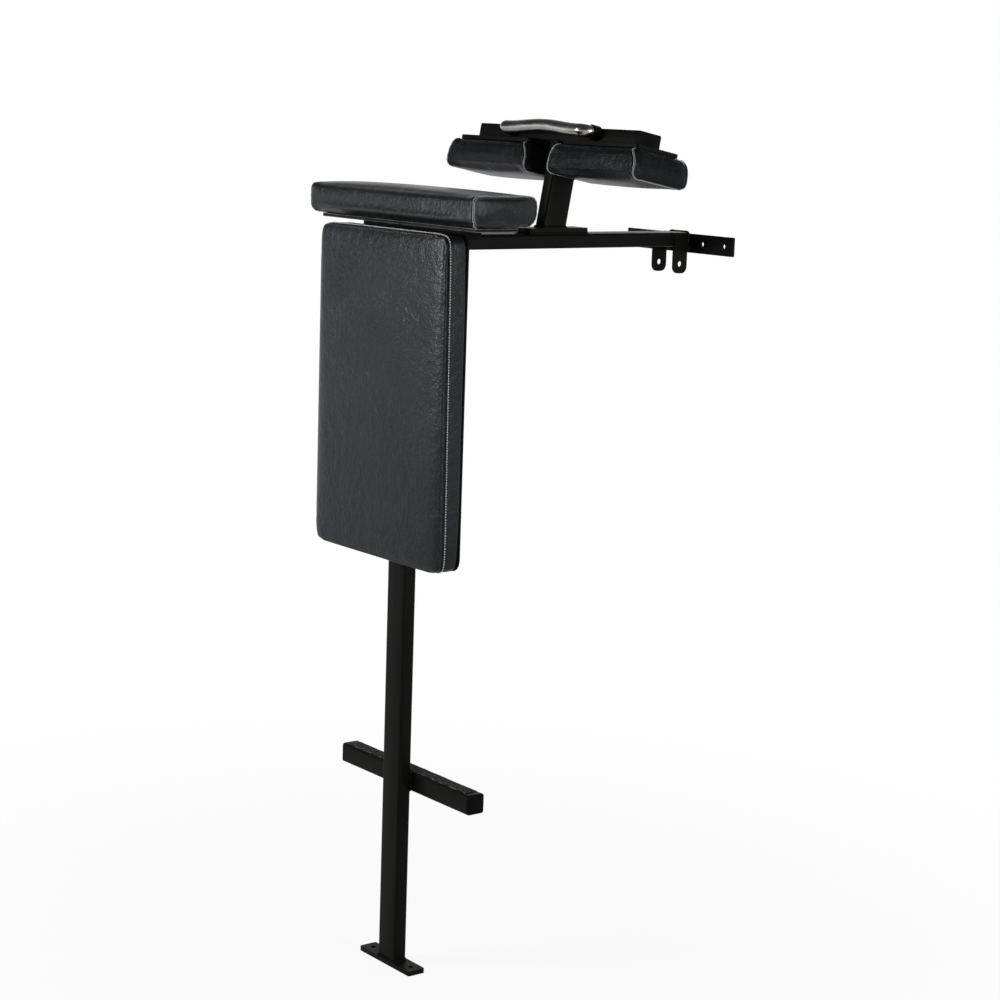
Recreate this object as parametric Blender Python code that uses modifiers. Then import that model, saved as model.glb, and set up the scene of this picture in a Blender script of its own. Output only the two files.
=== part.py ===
"""Abdominal bench for a training rig: a welded upright with a step, a back pad, a knee cushion,
and a leaning head that carries two hold-down cushions and a polished handle.

Frame: +X across the pads, +Y from the post back to the rig, +Z up. The origin lies on the floor,
on the post's axis. The head pieces lie in a frame of their own that leans back with the riser.
"""
from math import cos, pi, radians, sin, tan

import bmesh
import bpy
from mathutils import Matrix, Vector

MM = 0.001
GAP = 0.3 * MM
TOUCH = 0.001 * MM
MERGE = 0.01 * MM
LEAST_CORNER = 0.5 * MM
PLATE_EDGE = 0.8 * MM
BOARD_EDGE = 1 * MM
SMOOTH_BELOW = radians(35)
BEVEL_ABOVE = radians(50)
CORNER_STEPS = 4
HOLE_STEPS = 16
OPEN_HOLE_STEPS = 24

# Frame tubes
POST_WIDTH = 60 * MM
POST_DEPTH = 30 * MM
POST_WALL = 2.5 * MM
POST_CORNER = 6 * MM
ARM_TOP = 1487 * MM
ARM_REACH = 699.5 * MM

# Foot plate on the floor
FOOT_LENGTH = 176 * MM
FOOT_DEPTH = 40 * MM
FOOT_THICKNESS = 10 * MM
FOOT_CORNER = 4 * MM
FOOT_HOLE_SPACING = 133 * MM
FOOT_HOLE = 11 * MM

# Step across the back of the post
STEP_SIZE = 40 * MM
STEP_SPAN = 440 * MM
STEP_TOP = 408 * MM
STEP_CORNER = 5 * MM
STRIP_WIDTH = 30 * MM
STRIP_END_MARGIN = 12 * MM
STRIP_THICKNESS = 1.2 * MM
STRIP_CORNER = 3 * MM

# Plugs that close the open tube ends
TUBE_WALL = 2 * MM
CAP_THICKNESS = 4 * MM
CAP_EDGE = 1.2 * MM
PLUG_LENGTH = 12 * MM
PLUG_CLEARANCE = 0.5 * MM

# Plate and ears that meet the rig
RIG_PLATE_SPAN = 334 * MM
RIG_PLATE_HEIGHT = 40 * MM
RIG_PLATE_THICKNESS = 6 * MM
RIG_PLATE_BELOW_ARM_TOP = 2.5 * MM
RIG_PLATE_CORNER = 2 * MM
RIG_HOLE = 11 * MM
RIG_HOLE_INNER = 146 * MM
RIG_HOLE_OUTER = 278 * MM
EAR_WIDTH = 38 * MM
EAR_THICKNESS = 5 * MM
EAR_DROP = 56 * MM
EAR_HOLE = 12.5 * MM
EAR_HOLE_UP = 20 * MM
EAR_CORNER = 14 * MM
EAR_CORNER_STEPS = 6
EAR_TOP_CORNER = 2 * MM
EAR_TOP_STEPS = 2
EAR_TO_PLATE = 6 * MM
EAR_BELOW_ARM_TOP = 0.5 * MM

# Riser on the arm, leaning back
RISER_WIDTH = 30 * MM
RISER_DEPTH = 60 * MM
RISER_LEAN = radians(10.5)
RISER_FRONT = 317.2 * MM
RISER_FRONT_LENGTH = 176.9 * MM
BASE_WIDTH = 50 * MM
BASE_LENGTH = 152 * MM
BASE_THICKNESS = 11 * MM
BASE_AHEAD = 42 * MM
BASE_CORNER = 3 * MM

# Cross-member on the riser
CROSS_DEPTH = 60 * MM
CROSS_HEIGHT = 30 * MM
CROSS_SPAN = 507 * MM
CROSS_CORNER = 4 * MM

# Handle in front of the cross-member
HANDLE_DIAMETER = 25 * MM
HANDLE_LEG_SPACING = 262 * MM
HANDLE_STANDOFF = 35 * MM
HANDLE_BEND = 15 * MM
HANDLE_BELOW_TOP = 11 * MM
HANDLE_CROWN = 6 * MM
HANDLE_GRIP_POINTS = 13
HANDLE_BEND_STEPS = 6
HANDLE_BEVEL_STEPS = 6
COLLAR_WALL = 2 * MM
COLLAR_LENGTH = 19 * MM
COLLAR_CHAMFER = 1 * MM
COLLAR_CLEARANCE = 0.4 * MM
COLLAR_STEPS = 24

# Hold-down cushions under the cross-member
HOLD_FROM_CENTRE = 53 * MM
HOLD_PAST_CROSS = 32.5 * MM
HOLD_BOARD_DEPTH = 110 * MM
HOLD_BOARD_THICKNESS = 8 * MM
HOLD_BOARD_FRONT = -24 * MM
HOLD_BOARD_CORNER = 8 * MM
HOLD_PAD_OVER_BOARD = 4 * MM
HOLD_PAD_THICKNESS = 61 * MM
HOLD_PAD_END_SWELL = 16 * MM
HOLD_PAD_FRONT_SWELL = 11 * MM
HOLD_PAD_BACK_SWELL = 16 * MM
HOLD_BOLT_INSET = 62 * MM

# Knee cushion on its bracket
BRACKET_SPAN = 340 * MM
BRACKET_DEPTH = 40 * MM
BRACKET_HEIGHT = 20 * MM
BRACKET_FRONT = 4.5 * MM
BRACKET_CORNER = 4 * MM
KNEE_BOARD_WIDTH = 524 * MM
KNEE_BOARD_DEPTH = 97 * MM
KNEE_BOARD_THICKNESS = 7 * MM
KNEE_BOARD_FRONT = -35 * MM
KNEE_BOARD_CORNER = 6 * MM
KNEE_THICKNESS = 61 * MM
KNEE_END_SWELL = 9 * MM
KNEE_FRONT_SWELL = 23 * MM
KNEE_BACK_SWELL = 35 * MM
KNEE_CROWN = 5 * MM
KNEE_BOLT_FROM_CENTRE = 65 * MM

# Back pad on the front of the post
BACK_WIDTH = 432 * MM
BACK_HEIGHT = 650 * MM
BACK_BELOW_KNEE_BOARD = 5.5 * MM
BACK_THICKNESS = 52 * MM
BACK_BOARD_THICKNESS = 4.5 * MM
BACK_BOARD_MARGIN = 3 * MM
BACK_TUCK = 1 * MM
BACK_CORNER = 24 * MM
BACK_BOLT_FROM_END = 110 * MM

# Sewn cushions
SEAM_DEPTH = 1.5 * MM
SEAM_HALF_WIDTH = 3 * MM
SEAM_FROM_FACE = 19 * MM
SEAM_FROM_END = 7 * MM
PAD_CROWN = 4 * MM
ROLL = 18 * MM
FOLD = 9 * MM
END_CORNER = 5 * MM
CAGE_LEVELS = (0.08, 0.26, 0.5)
SLOW_FULL = 0.55
QUICK_FULL = 0.15
ARC_PULL = 0.25

# Screws, button head
SCREW_DIAMETER = 8 * MM
SCREW_HEAD = 15 * MM
SCREW_HEAD_HEIGHT = 4.4 * MM
SCREW_HOLE_CLEARANCE = 0.5 * MM
SCREW_STEPS = 12
ACCESS_HOLE = 18 * MM
BOLT_TO_PLUG = 6 * MM
WASHER_DIAMETER = 22 * MM
WASHER_THICKNESS = 1.6 * MM
WASHER_STEPS = 16

# Values that follow from the ones above
ARM_BOTTOM = ARM_TOP - POST_DEPTH
POST_HALF = POST_DEPTH / 2
RIG_PLATE_TOP = ARM_TOP - RIG_PLATE_BELOW_ARM_TOP
BASE_TOP = ARM_TOP + GAP + BASE_THICKNESS
SCREW_HOLE = SCREW_DIAMETER + 2 * SCREW_HOLE_CLEARANCE
HEAD_Y = RISER_FRONT + RISER_FRONT_LENGTH * sin(RISER_LEAN)
HEAD_Z = BASE_TOP + RISER_FRONT_LENGTH * cos(RISER_LEAN)
BRACKET_BOTTOM = ARM_TOP + GAP
KNEE_BOARD_BOTTOM = BRACKET_BOTTOM + BRACKET_HEIGHT + GAP
BACK_BOARD_BACK = -POST_HALF - GAP
BACK_TOP = KNEE_BOARD_BOTTOM - BACK_BELOW_KNEE_BOARD
BACK_BOTTOM = BACK_TOP - BACK_HEIGHT
BACK_BOLTS = (BACK_BOTTOM + BACK_BOLT_FROM_END, BACK_TOP - BACK_BOLT_FROM_END)
CROSS_BOLT_OUTER = CROSS_SPAN / 2 - PLUG_LENGTH - ACCESS_HOLE / 2 - BOLT_TO_PLUG
KNEE_BOLT_OUTER = BRACKET_SPAN / 2 - PLUG_LENGTH - ACCESS_HOLE / 2 - BOLT_TO_PLUG

for old_object in list(bpy.data.objects):
    bpy.data.objects.remove(old_object, do_unlink=True)

parts = bpy.data.collections.new("abdominal_bench")
cutters = bpy.data.collections.new("cutters")
bpy.context.scene.collection.children.link(parts)
bpy.context.scene.collection.children.link(cutters)

COATED_STEEL = ((0.018, 0.018, 0.017), 0.42, 0.1)
COATED_PLATE = ((0.022, 0.022, 0.021), 0.45, 0.1)
POLISHED_STEEL = ((0.62, 0.60, 0.57), 0.12, 1.0)
LEATHERETTE = ((0.030, 0.031, 0.033), 0.5, 0.0)
BOARD_BLACK = ((0.014, 0.014, 0.014), 0.6, 0.0)
PLASTIC_BLACK = ((0.010, 0.010, 0.010), 0.5, 0.0)
GRIP_BLACK = ((0.012, 0.012, 0.012), 0.9, 0.0)
DARK_ZINC = ((0.05, 0.05, 0.05), 0.35, 0.9)


def finish(obj, look):
    """Give an object its own material and smooth shading with sharp edges kept."""
    colour, roughness, metallic = look
    material = bpy.data.materials.new(obj.name)
    material.use_nodes = True
    shader = material.node_tree.nodes["Principled BSDF"]
    shader.inputs["Base Color"].default_value = (*colour, 1)
    shader.inputs["Roughness"].default_value = roughness
    shader.inputs["Metallic"].default_value = metallic
    obj.data.materials.clear()
    obj.data.materials.append(material)
    obj.data.shade_smooth()
    obj.data.set_sharp_from_angle(angle=SMOOTH_BELOW)
    return obj


def mesh_object(name, bm, collection=parts):
    mesh = bpy.data.meshes.new(name)
    bm.normal_update()
    bm.to_mesh(mesh)
    bm.free()
    obj = bpy.data.objects.new(name, mesh)
    collection.objects.link(obj)
    return obj


def rounded_outline(width, height, radius, steps=CORNER_STEPS):
    """Points of a rectangle about the origin whose corners are arcs."""
    points = []
    for quarter in range(4):
        side_x = 1 if quarter in (0, 3) else -1
        side_y = 1 if quarter in (0, 1) else -1
        for step in range(steps + 1):
            angle = pi / 2 * (quarter + step / steps)
            points.append((side_x * (width / 2 - radius) + radius * cos(angle),
                           side_y * (height / 2 - radius) + radius * sin(angle)))
    return points


def extruded(name, outlines, length):
    """A flat outline, with its inner outlines left open, extruded along Z about its middle."""
    curve = bpy.data.curves.new(name, "CURVE")
    curve.dimensions = "2D"
    curve.fill_mode = "BOTH"
    curve.extrude = length / 2
    for outline in outlines:
        spline = curve.splines.new("POLY")
        spline.points.add(len(outline) - 1)
        for point, (x, y) in zip(spline.points, outline):
            point.co = (x, y, 0, 1)
        spline.use_cyclic_u = True
    drawn = bpy.data.objects.new(name, curve)
    parts.objects.link(drawn)
    return from_curve(drawn)


def from_curve(drawn):
    """Turn a curve object into a mesh object with its caps welded on."""
    bpy.context.view_layer.update()
    graph = bpy.context.evaluated_depsgraph_get()
    mesh = bpy.data.meshes.new_from_object(drawn.evaluated_get(graph))
    bm = bmesh.new()
    bm.from_mesh(mesh)
    bmesh.ops.remove_doubles(bm, verts=bm.verts, dist=MERGE)
    bmesh.ops.recalc_face_normals(bm, faces=bm.faces)
    bm.to_mesh(mesh)
    bm.free()
    name = drawn.name
    matrix = drawn.matrix_world.copy()
    bpy.data.objects.remove(drawn, do_unlink=True)
    obj = bpy.data.objects.new(name, mesh)
    obj.matrix_world = matrix
    parts.objects.link(obj)
    return obj


def hollow_section(width, height, corner, wall):
    inner_corner = max(corner - wall, LEAST_CORNER)
    inner = rounded_outline(width - 2 * wall, height - 2 * wall, inner_corner)
    return [rounded_outline(width, height, corner), inner]


# Turns that lay an extrusion, drawn along Z, along X or Y
ALONG_X = Matrix(((0, 0, 1), (1, 0, 0), (0, 1, 0))).to_4x4()
ALONG_Y = Matrix(((1, 0, 0), (0, 0, -1), (0, 1, 0))).to_4x4()
ALONG_Z = Matrix.Identity(4)


def laid(obj, turn, centre):
    """Turn a mesh's own points, then move them, so the object keeps the frame's axes."""
    obj.data.transform(Matrix.Translation(centre) @ turn)
    return obj


def bevelled(obj, width, segments=2):
    bevel = obj.modifiers.new("edges", "BEVEL")
    bevel.width = width
    bevel.segments = segments
    bevel.limit_method = "ANGLE"
    bevel.angle_limit = BEVEL_ABOVE
    bevel.use_clamp_overlap = True
    return obj


def cylinder_cutter(name, diameter, start, end, parent=None, segments=HOLE_STEPS):
    """A round cutter between two points."""
    start, end = Vector(start), Vector(end)
    bm = bmesh.new()
    bmesh.ops.create_cone(bm, cap_ends=True, segments=segments, radius1=diameter / 2,
                          radius2=diameter / 2, depth=(end - start).length)
    turn = (end - start).to_track_quat("Z", "Y").to_matrix().to_4x4()
    bmesh.ops.transform(bm, matrix=Matrix.Translation((start + end) / 2) @ turn, verts=bm.verts)
    cutter = mesh_object(name, bm, cutters)
    cutter.display_type = "WIRE"
    cutter.hide_render = True
    cutter.parent = parent
    return cutter


def drilled(obj, cutter):
    cut = obj.modifiers.new(cutter.name, "BOOLEAN")
    cut.operation = "DIFFERENCE"
    cut.solver = "EXACT"
    cut.object = cutter
    return obj


def turned(name, profile, steps, parent=None):
    """A round piece about Z. Its profile runs down the outer side first."""
    bm = bmesh.new()
    points = [bm.verts.new((radius, 0, height)) for radius, height in profile]
    closed = profile[0][0] > 0 and profile[-1][0] > 0
    pairs = list(zip(points, points[1:]))
    if closed:
        pairs.append((points[-1], points[0]))
    for first, second in pairs:
        bm.edges.new((first, second))
    obj = mesh_object(name, bm)
    screw = obj.modifiers.new("turn", "SCREW")
    screw.axis = "Z"
    screw.steps = steps
    screw.render_steps = steps
    screw.use_merge_vertices = True
    screw.merge_threshold = MERGE
    obj.parent = parent
    return obj


def end_cap(name, width, height, corner, wall, side, end_x, centre, parent=None):
    """A plug for a tube along X: a flange on the tube's end and a plug inside its bore."""
    flange = extruded(name, [rounded_outline(width, height, corner)], CAP_THICKNESS)
    middle = side * (end_x + GAP + CAP_THICKNESS / 2)
    laid(flange, ALONG_X, (middle, *centre))
    bevelled(flange, CAP_EDGE)
    inset = 2 * (wall + PLUG_CLEARANCE)
    plug_outline = rounded_outline(width - inset, height - inset,
                                   max(corner - wall, LEAST_CORNER))
    plug = extruded(name + "_plug", [plug_outline], PLUG_LENGTH)
    reach = end_x + GAP + CAP_THICKNESS / 2 - PLUG_LENGTH / 2
    laid(plug, ALONG_X, (side * reach, *centre))
    parts.objects.unlink(plug)
    cutters.objects.link(plug)
    plug.display_type = "WIRE"
    plug.hide_render = True
    join = flange.modifiers.new("plug", "BOOLEAN")
    join.operation = "UNION"
    join.solver = "EXACT"
    join.object = plug
    flange.parent = parent
    plug.parent = parent
    return finish(flange, PLASTIC_BLACK)


def placed_turned(name, profile, seat, direction, look, parent, steps):
    """A turned piece whose axis starts at seat and points along direction."""
    obj = turned(name, profile, steps, parent)
    obj.location = seat
    obj.rotation_mode = "QUATERNION"
    obj.rotation_quaternion = Vector(direction).to_track_quat("Z", "Y")
    return finish(obj, look)


def button_screw(name, seat, direction, length, parent=None):
    """A button-head screw: its head rests at seat, its shank runs on along direction."""
    head, shank = SCREW_HEAD / 2, SCREW_DIAMETER / 2
    crown = -SCREW_HEAD_HEIGHT
    profile = [(0, length), (shank, length), (shank, 0), (head, 0), (head, 0.3 * crown),
               (0.85 * head, 0.7 * crown), (0.55 * head, 0.95 * crown), (0, crown)]
    return placed_turned(name, profile, seat, direction, DARK_ZINC, parent,
                         SCREW_STEPS)


def post():
    bottom = FOOT_THICKNESS + GAP
    section = hollow_section(POST_WIDTH, POST_DEPTH, POST_CORNER, POST_WALL)
    obj = extruded("post_tube", section, ARM_TOP - bottom)
    laid(obj, ALONG_Z, (0, 0, (ARM_TOP + bottom) / 2))
    middle = (ARM_TOP + bottom) / 2
    for vertex in obj.data.vertices:
        if vertex.co.z > middle:
            vertex.co.z = ARM_TOP - POST_HALF - vertex.co.y - GAP / 2
    for height in BACK_BOLTS:
        hole = cylinder_cutter("post_hole", SCREW_HOLE, (0, -POST_DEPTH, height),
                               (0, POST_DEPTH, height))
        drilled(obj, hole)
    return finish(obj, COATED_STEEL)


def arm():
    section = hollow_section(POST_WIDTH, POST_DEPTH, POST_CORNER, POST_WALL)
    end = ARM_REACH - GAP
    obj = extruded("arm_tube", section, end + POST_HALF)
    centre_z = ARM_TOP - POST_HALF
    middle = (end - POST_HALF) / 2
    laid(obj, ALONG_Y, (0, middle, centre_z))
    for vertex in obj.data.vertices:
        if vertex.co.y < middle:
            vertex.co.y = centre_z - vertex.co.z + GAP
    return finish(obj, COATED_STEEL)


def foot_plate():
    obj = extruded("foot_plate", [rounded_outline(FOOT_LENGTH, FOOT_DEPTH, FOOT_CORNER)],
                   FOOT_THICKNESS)
    laid(obj, ALONG_Z, (0, 0, FOOT_THICKNESS / 2))
    bevelled(obj, PLATE_EDGE, 1)
    for side in (-1, 1):
        x = side * FOOT_HOLE_SPACING / 2
        hole = cylinder_cutter("foot_hole", FOOT_HOLE, (x, 0, -FOOT_THICKNESS),
                               (x, 0, 2 * FOOT_THICKNESS), None, OPEN_HOLE_STEPS)
        drilled(obj, hole)
    return finish(obj, COATED_PLATE)


def step():
    centre = (POST_HALF + GAP + STEP_SIZE / 2, STEP_TOP - STEP_SIZE / 2)
    tube_end = STEP_SPAN / 2 - CAP_THICKNESS - GAP
    section = hollow_section(STEP_SIZE, STEP_SIZE, STEP_CORNER, TUBE_WALL)
    tube = extruded("step_tube", section, 2 * tube_end)
    laid(tube, ALONG_X, (0, *centre))
    finish(tube, COATED_STEEL)
    for side, word in ((-1, "left"), (1, "right")):
        end_cap("step_cap_" + word, STEP_SIZE, STEP_SIZE, STEP_CORNER, TUBE_WALL, side,
                tube_end, centre)
    strip_length = 2 * (tube_end - STRIP_END_MARGIN)
    outline = rounded_outline(strip_length, STRIP_WIDTH, STRIP_CORNER)
    strip = extruded("step_grip_strip", [outline], STRIP_THICKNESS)
    laid(strip, ALONG_Z, (0, centre[0], STEP_TOP + GAP + STRIP_THICKNESS / 2))
    finish(strip, GRIP_BLACK)


def rig_plate():
    outline = rounded_outline(RIG_PLATE_SPAN, RIG_PLATE_HEIGHT, RIG_PLATE_CORNER)
    obj = extruded("rig_plate", [outline], RIG_PLATE_THICKNESS)
    centre_z = RIG_PLATE_TOP - RIG_PLATE_HEIGHT / 2
    laid(obj, ALONG_Y, (0, ARM_REACH + RIG_PLATE_THICKNESS / 2, centre_z))
    bevelled(obj, PLATE_EDGE, 1)
    for spacing in (RIG_HOLE_INNER, RIG_HOLE_OUTER):
        for side in (-1, 1):
            x = side * spacing / 2
            hole = cylinder_cutter("rig_hole", RIG_HOLE,
                                   (x, ARM_REACH - RIG_PLATE_THICKNESS, centre_z),
                                   (x, ARM_REACH + 2 * RIG_PLATE_THICKNESS, centre_z),
                                   None, OPEN_HOLE_STEPS)
            drilled(obj, hole)
    return finish(obj, COATED_PLATE)


def ear_outline(height):
    """Square corners at the top, rounded ones at the bottom, about the ear's middle."""
    low = rounded_outline(EAR_WIDTH, height, EAR_CORNER, EAR_CORNER_STEPS)
    high = rounded_outline(EAR_WIDTH, height, EAR_TOP_CORNER, EAR_TOP_STEPS)
    return [point for point in high if point[1] > 0] + [point for point in low if point[1] < 0]


def ears():
    top = ARM_TOP - EAR_BELOW_ARM_TOP
    bottom = ARM_BOTTOM - EAR_DROP
    centre_y = ARM_REACH - EAR_TO_PLATE - EAR_WIDTH / 2
    for side, word in ((-1, "left"), (1, "right")):
        obj = extruded("rig_ear_" + word, [ear_outline(top - bottom)], EAR_THICKNESS)
        x = side * (POST_WIDTH / 2 + GAP + EAR_THICKNESS / 2)
        laid(obj, ALONG_X, (x, centre_y, (top + bottom) / 2))
        bevelled(obj, PLATE_EDGE, 1)
        hole_z = bottom + EAR_HOLE_UP
        hole = cylinder_cutter("ear_hole", EAR_HOLE, (x - 2 * EAR_THICKNESS, centre_y, hole_z),
                               (x + 2 * EAR_THICKNESS, centre_y, hole_z), None,
                               OPEN_HOLE_STEPS)
        drilled(obj, hole)
        finish(obj, COATED_PLATE)


def head_frame():
    """The head's own frame: its origin is at the riser's top front edge, leaning with it."""
    empty = bpy.data.objects.new("head", None)
    empty.location = (0, HEAD_Y, HEAD_Z)
    empty.rotation_euler = (-RISER_LEAN, 0, 0)
    parts.objects.link(empty)
    return empty


def riser(head):
    outline = rounded_outline(BASE_WIDTH, BASE_LENGTH, BASE_CORNER)
    base = extruded("riser_base_plate", [outline], BASE_THICKNESS)
    base_y = RISER_FRONT - BASE_AHEAD + BASE_LENGTH / 2
    laid(base, ALONG_Z, (0, base_y, BASE_TOP - BASE_THICKNESS / 2))
    bevelled(base, PLATE_EDGE, 1)
    finish(base, COATED_PLATE)

    section = hollow_section(RISER_WIDTH, RISER_DEPTH, POST_CORNER, POST_WALL)
    tube = extruded("riser_tube", section, RISER_FRONT_LENGTH)
    laid(tube, ALONG_Z, (0, RISER_DEPTH / 2, -RISER_FRONT_LENGTH / 2))
    foot = -RISER_FRONT_LENGTH + GAP / cos(RISER_LEAN)
    for vertex in tube.data.vertices:
        if vertex.co.z < -RISER_FRONT_LENGTH / 2:
            vertex.co.z = foot + vertex.co.y * tan(RISER_LEAN)
        else:
            vertex.co.z -= GAP
    tube.parent = head
    finish(tube, COATED_STEEL)


def cross_member(head):
    centre = (CROSS_DEPTH / 2, CROSS_HEIGHT / 2)
    tube_end = CROSS_SPAN / 2 - CAP_THICKNESS - GAP
    section = hollow_section(CROSS_DEPTH, CROSS_HEIGHT, CROSS_CORNER, TUBE_WALL)
    tube = extruded("cross_member", section, 2 * tube_end)
    laid(tube, ALONG_X, (0, *centre))
    tube.parent = head
    for x in hold_bolt_places():
        middle = CROSS_HEIGHT / 2
        drilled(tube, cylinder_cutter("wall_hole", SCREW_HOLE, (x, centre[0], -middle),
                                      (x, centre[0], middle), head))
        drilled(tube, cylinder_cutter("access_hole", ACCESS_HOLE, (x, centre[0], middle),
                                      (x, centre[0], 2 * CROSS_HEIGHT), head))
    finish(tube, COATED_STEEL)
    for side, word in ((-1, "left"), (1, "right")):
        end_cap("cross_cap_" + word, CROSS_DEPTH, CROSS_HEIGHT, CROSS_CORNER, TUBE_WALL, side,
                tube_end, centre, head)


def handle_route():
    """Half of the handle's centre line, from its seat on the cross-member to the middle."""
    leg = HANDLE_LEG_SPACING / 2
    level = CROSS_HEIGHT - HANDLE_BELOW_TOP
    route = [(leg, -GAP, level)]
    for step in range(HANDLE_BEND_STEPS + 1):
        angle = pi / 2 * step / HANDLE_BEND_STEPS
        route.append((leg - HANDLE_BEND * (1 - cos(angle)),
                      -(HANDLE_STANDOFF - HANDLE_BEND) - HANDLE_BEND * sin(angle), level))
    straight = leg - HANDLE_BEND
    for step in range(1, HANDLE_GRIP_POINTS // 2 + 1):
        x = straight * (1 - step / (HANDLE_GRIP_POINTS // 2))
        rise = HANDLE_CROWN * (1 + cos(pi * x / straight)) / 2
        route.append((x, -HANDLE_STANDOFF, level + rise))
    return route


def handle(head):
    half = handle_route()
    route = half + [(-x, y, z) for x, y, z in reversed(half[:-1])]
    curve = bpy.data.curves.new("handle", "CURVE")
    curve.dimensions = "3D"
    curve.bevel_depth = HANDLE_DIAMETER / 2
    curve.bevel_resolution = HANDLE_BEVEL_STEPS
    curve.use_fill_caps = True
    spline = curve.splines.new("POLY")
    spline.points.add(len(route) - 1)
    for point, place in zip(spline.points, route):
        point.co = (*place, 1)
    drawn = bpy.data.objects.new("handle", curve)
    parts.objects.link(drawn)
    tube = from_curve(drawn)
    tube.parent = head
    finish(tube, POLISHED_STEEL)

    inner = HANDLE_DIAMETER / 2 + COLLAR_CLEARANCE
    outer = inner + COLLAR_WALL
    edge = COLLAR_CHAMFER
    profile = [(outer - edge, COLLAR_LENGTH), (outer, COLLAR_LENGTH - edge), (outer, 0),
               (inner, 0), (inner, COLLAR_LENGTH)]
    for side, word in ((-1, "left"), (1, "right")):
        seat = (side * HANDLE_LEG_SPACING / 2, -GAP, CROSS_HEIGHT - HANDLE_BELOW_TOP)
        placed_turned("handle_collar_" + word, profile, seat, (0, -1, 0), PLASTIC_BLACK, head,
                      COLLAR_STEPS)


def loop_cuts(bm, axis, places):
    """Cut a box straight through at each place along an axis."""
    normal = Vector((0, 0, 0))
    normal[axis] = 1
    for place in places:
        point = Vector((0, 0, 0))
        point[axis] = place
        geometry = list(bm.verts) + list(bm.edges) + list(bm.faces)
        bmesh.ops.bisect_plane(bm, geom=geometry, dist=TOUCH, plane_co=point, plane_no=normal)


def even(low, high, count):
    return [low + (high - low) * step / count for step in range(count + 1)]


def seam_cuts(groove):
    return [groove - SEAM_HALF_WIDTH, groove, groove + SEAM_HALF_WIDTH]


def mirrored(places):
    return sorted([-place for place in places] + list(places))


def cushion_cage(size, swell, full_at, crown, rounding, corner, seam, count):
    """A coarse cushion: its board side lies at z = 0 and it faces +Z.

    size holds the board side's width and depth, and the thickness. swell holds how far the sides
    stand out past the board side at both X ends, at -Y and at +Y, and full_at at which share of
    the thickness the ends and the other sides have come out that far. The face's edges are
    rounded by rounding, the corners between the sides by corner. The sewn groove runs round the
    sides below the face, or round both X ends. count holds the cells along X and along Y.
    """
    width, depth, thickness = size
    end_swell, front_swell, back_swell = swell
    reach_x, reach_y = width / 2, depth / 2
    across, up = [], [level * thickness for level in CAGE_LEVELS[:2]]
    groove_x = groove_z = None
    if seam == "ends":
        groove_x = reach_x - SEAM_FROM_END
        across += seam_cuts(groove_x)
        up.append(CAGE_LEVELS[2] * thickness)
        end_rounding = corner
    else:
        groove_z = thickness - SEAM_FROM_FACE
        across.append(reach_x - corner)
        up += seam_cuts(groove_z)
        end_rounding = rounding
    inner = min(across)
    side_y = max(corner, rounding) if seam == "ends" else corner
    bm = bmesh.new()
    bmesh.ops.create_cube(bm, size=1)
    box = Matrix.Diagonal((width, depth, thickness, 1))
    bmesh.ops.transform(bm, matrix=Matrix.Translation((0, 0, thickness / 2)) @ box,
                        verts=bm.verts)
    loop_cuts(bm, 0, mirrored(across) + even(-inner, inner, count[0])[1:-1])
    loop_cuts(bm, 1, even(-reach_y + side_y, reach_y - side_y, count[1]))
    loop_cuts(bm, 2, up + [thickness - rounding])
    for vertex in bm.verts:
        x, y, z = vertex.co
        side_x, side_of_y = (1 if x > 0 else -1), (1 if y > 0 else -1)
        at_end = abs(x) > reach_x - TOUCH
        at_side = abs(y) > reach_y - TOUCH
        at_face = z > thickness - TOUCH
        end_full, side_full = [sin(pi / 2 * min(1, z / thickness / share)) for share in full_at]
        far = front_swell if y < 0 else back_swell
        new_x = x * (1 + end_full * end_swell / reach_x)
        new_y = y * (1 + side_full * far / reach_y)
        new_z = z
        if at_end and at_side:
            new_x -= side_x * corner * ARC_PULL
            new_y -= side_of_y * corner * ARC_PULL
        in_groove = groove_x is not None and abs(abs(x) - groove_x) < TOUCH
        if in_groove and at_side:
            new_y -= side_of_y * SEAM_DEPTH
        if in_groove and at_face:
            new_z -= SEAM_DEPTH
        if groove_z is not None and abs(z - groove_z) < TOUCH:
            new_x -= side_x * SEAM_DEPTH * at_end
            new_y -= side_of_y * SEAM_DEPTH * at_side
        if at_face:
            level = cos(pi / 2 * x / reach_x) * cos(pi / 2 * y / reach_y)
            new_z += crown * max(0, level) ** 0.5
        if at_face and at_side:
            new_y -= side_of_y * rounding * ARC_PULL
            new_z -= rounding * ARC_PULL
        if at_face and at_end:
            new_x -= side_x * end_rounding * ARC_PULL
            new_z -= end_rounding * ARC_PULL * (not at_side)
        vertex.co = (new_x, new_y, new_z)
    return bm


def cushion(name, bm, matrix, parent=None):
    bmesh.ops.transform(bm, matrix=matrix, verts=bm.verts)
    bmesh.ops.recalc_face_normals(bm, faces=bm.faces)
    obj = mesh_object(name, bm)
    smooth = obj.modifiers.new("soft", "SUBSURF")
    smooth.levels = 1
    smooth.render_levels = 1
    obj.parent = parent
    finish(obj, LEATHERETTE)
    return obj


def hold_bolt_places():
    """X places of the screws that hold both hold-down boards."""
    inner = HOLD_FROM_CENTRE + HOLD_BOLT_INSET
    return mirrored([inner, CROSS_BOLT_OUTER])


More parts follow.
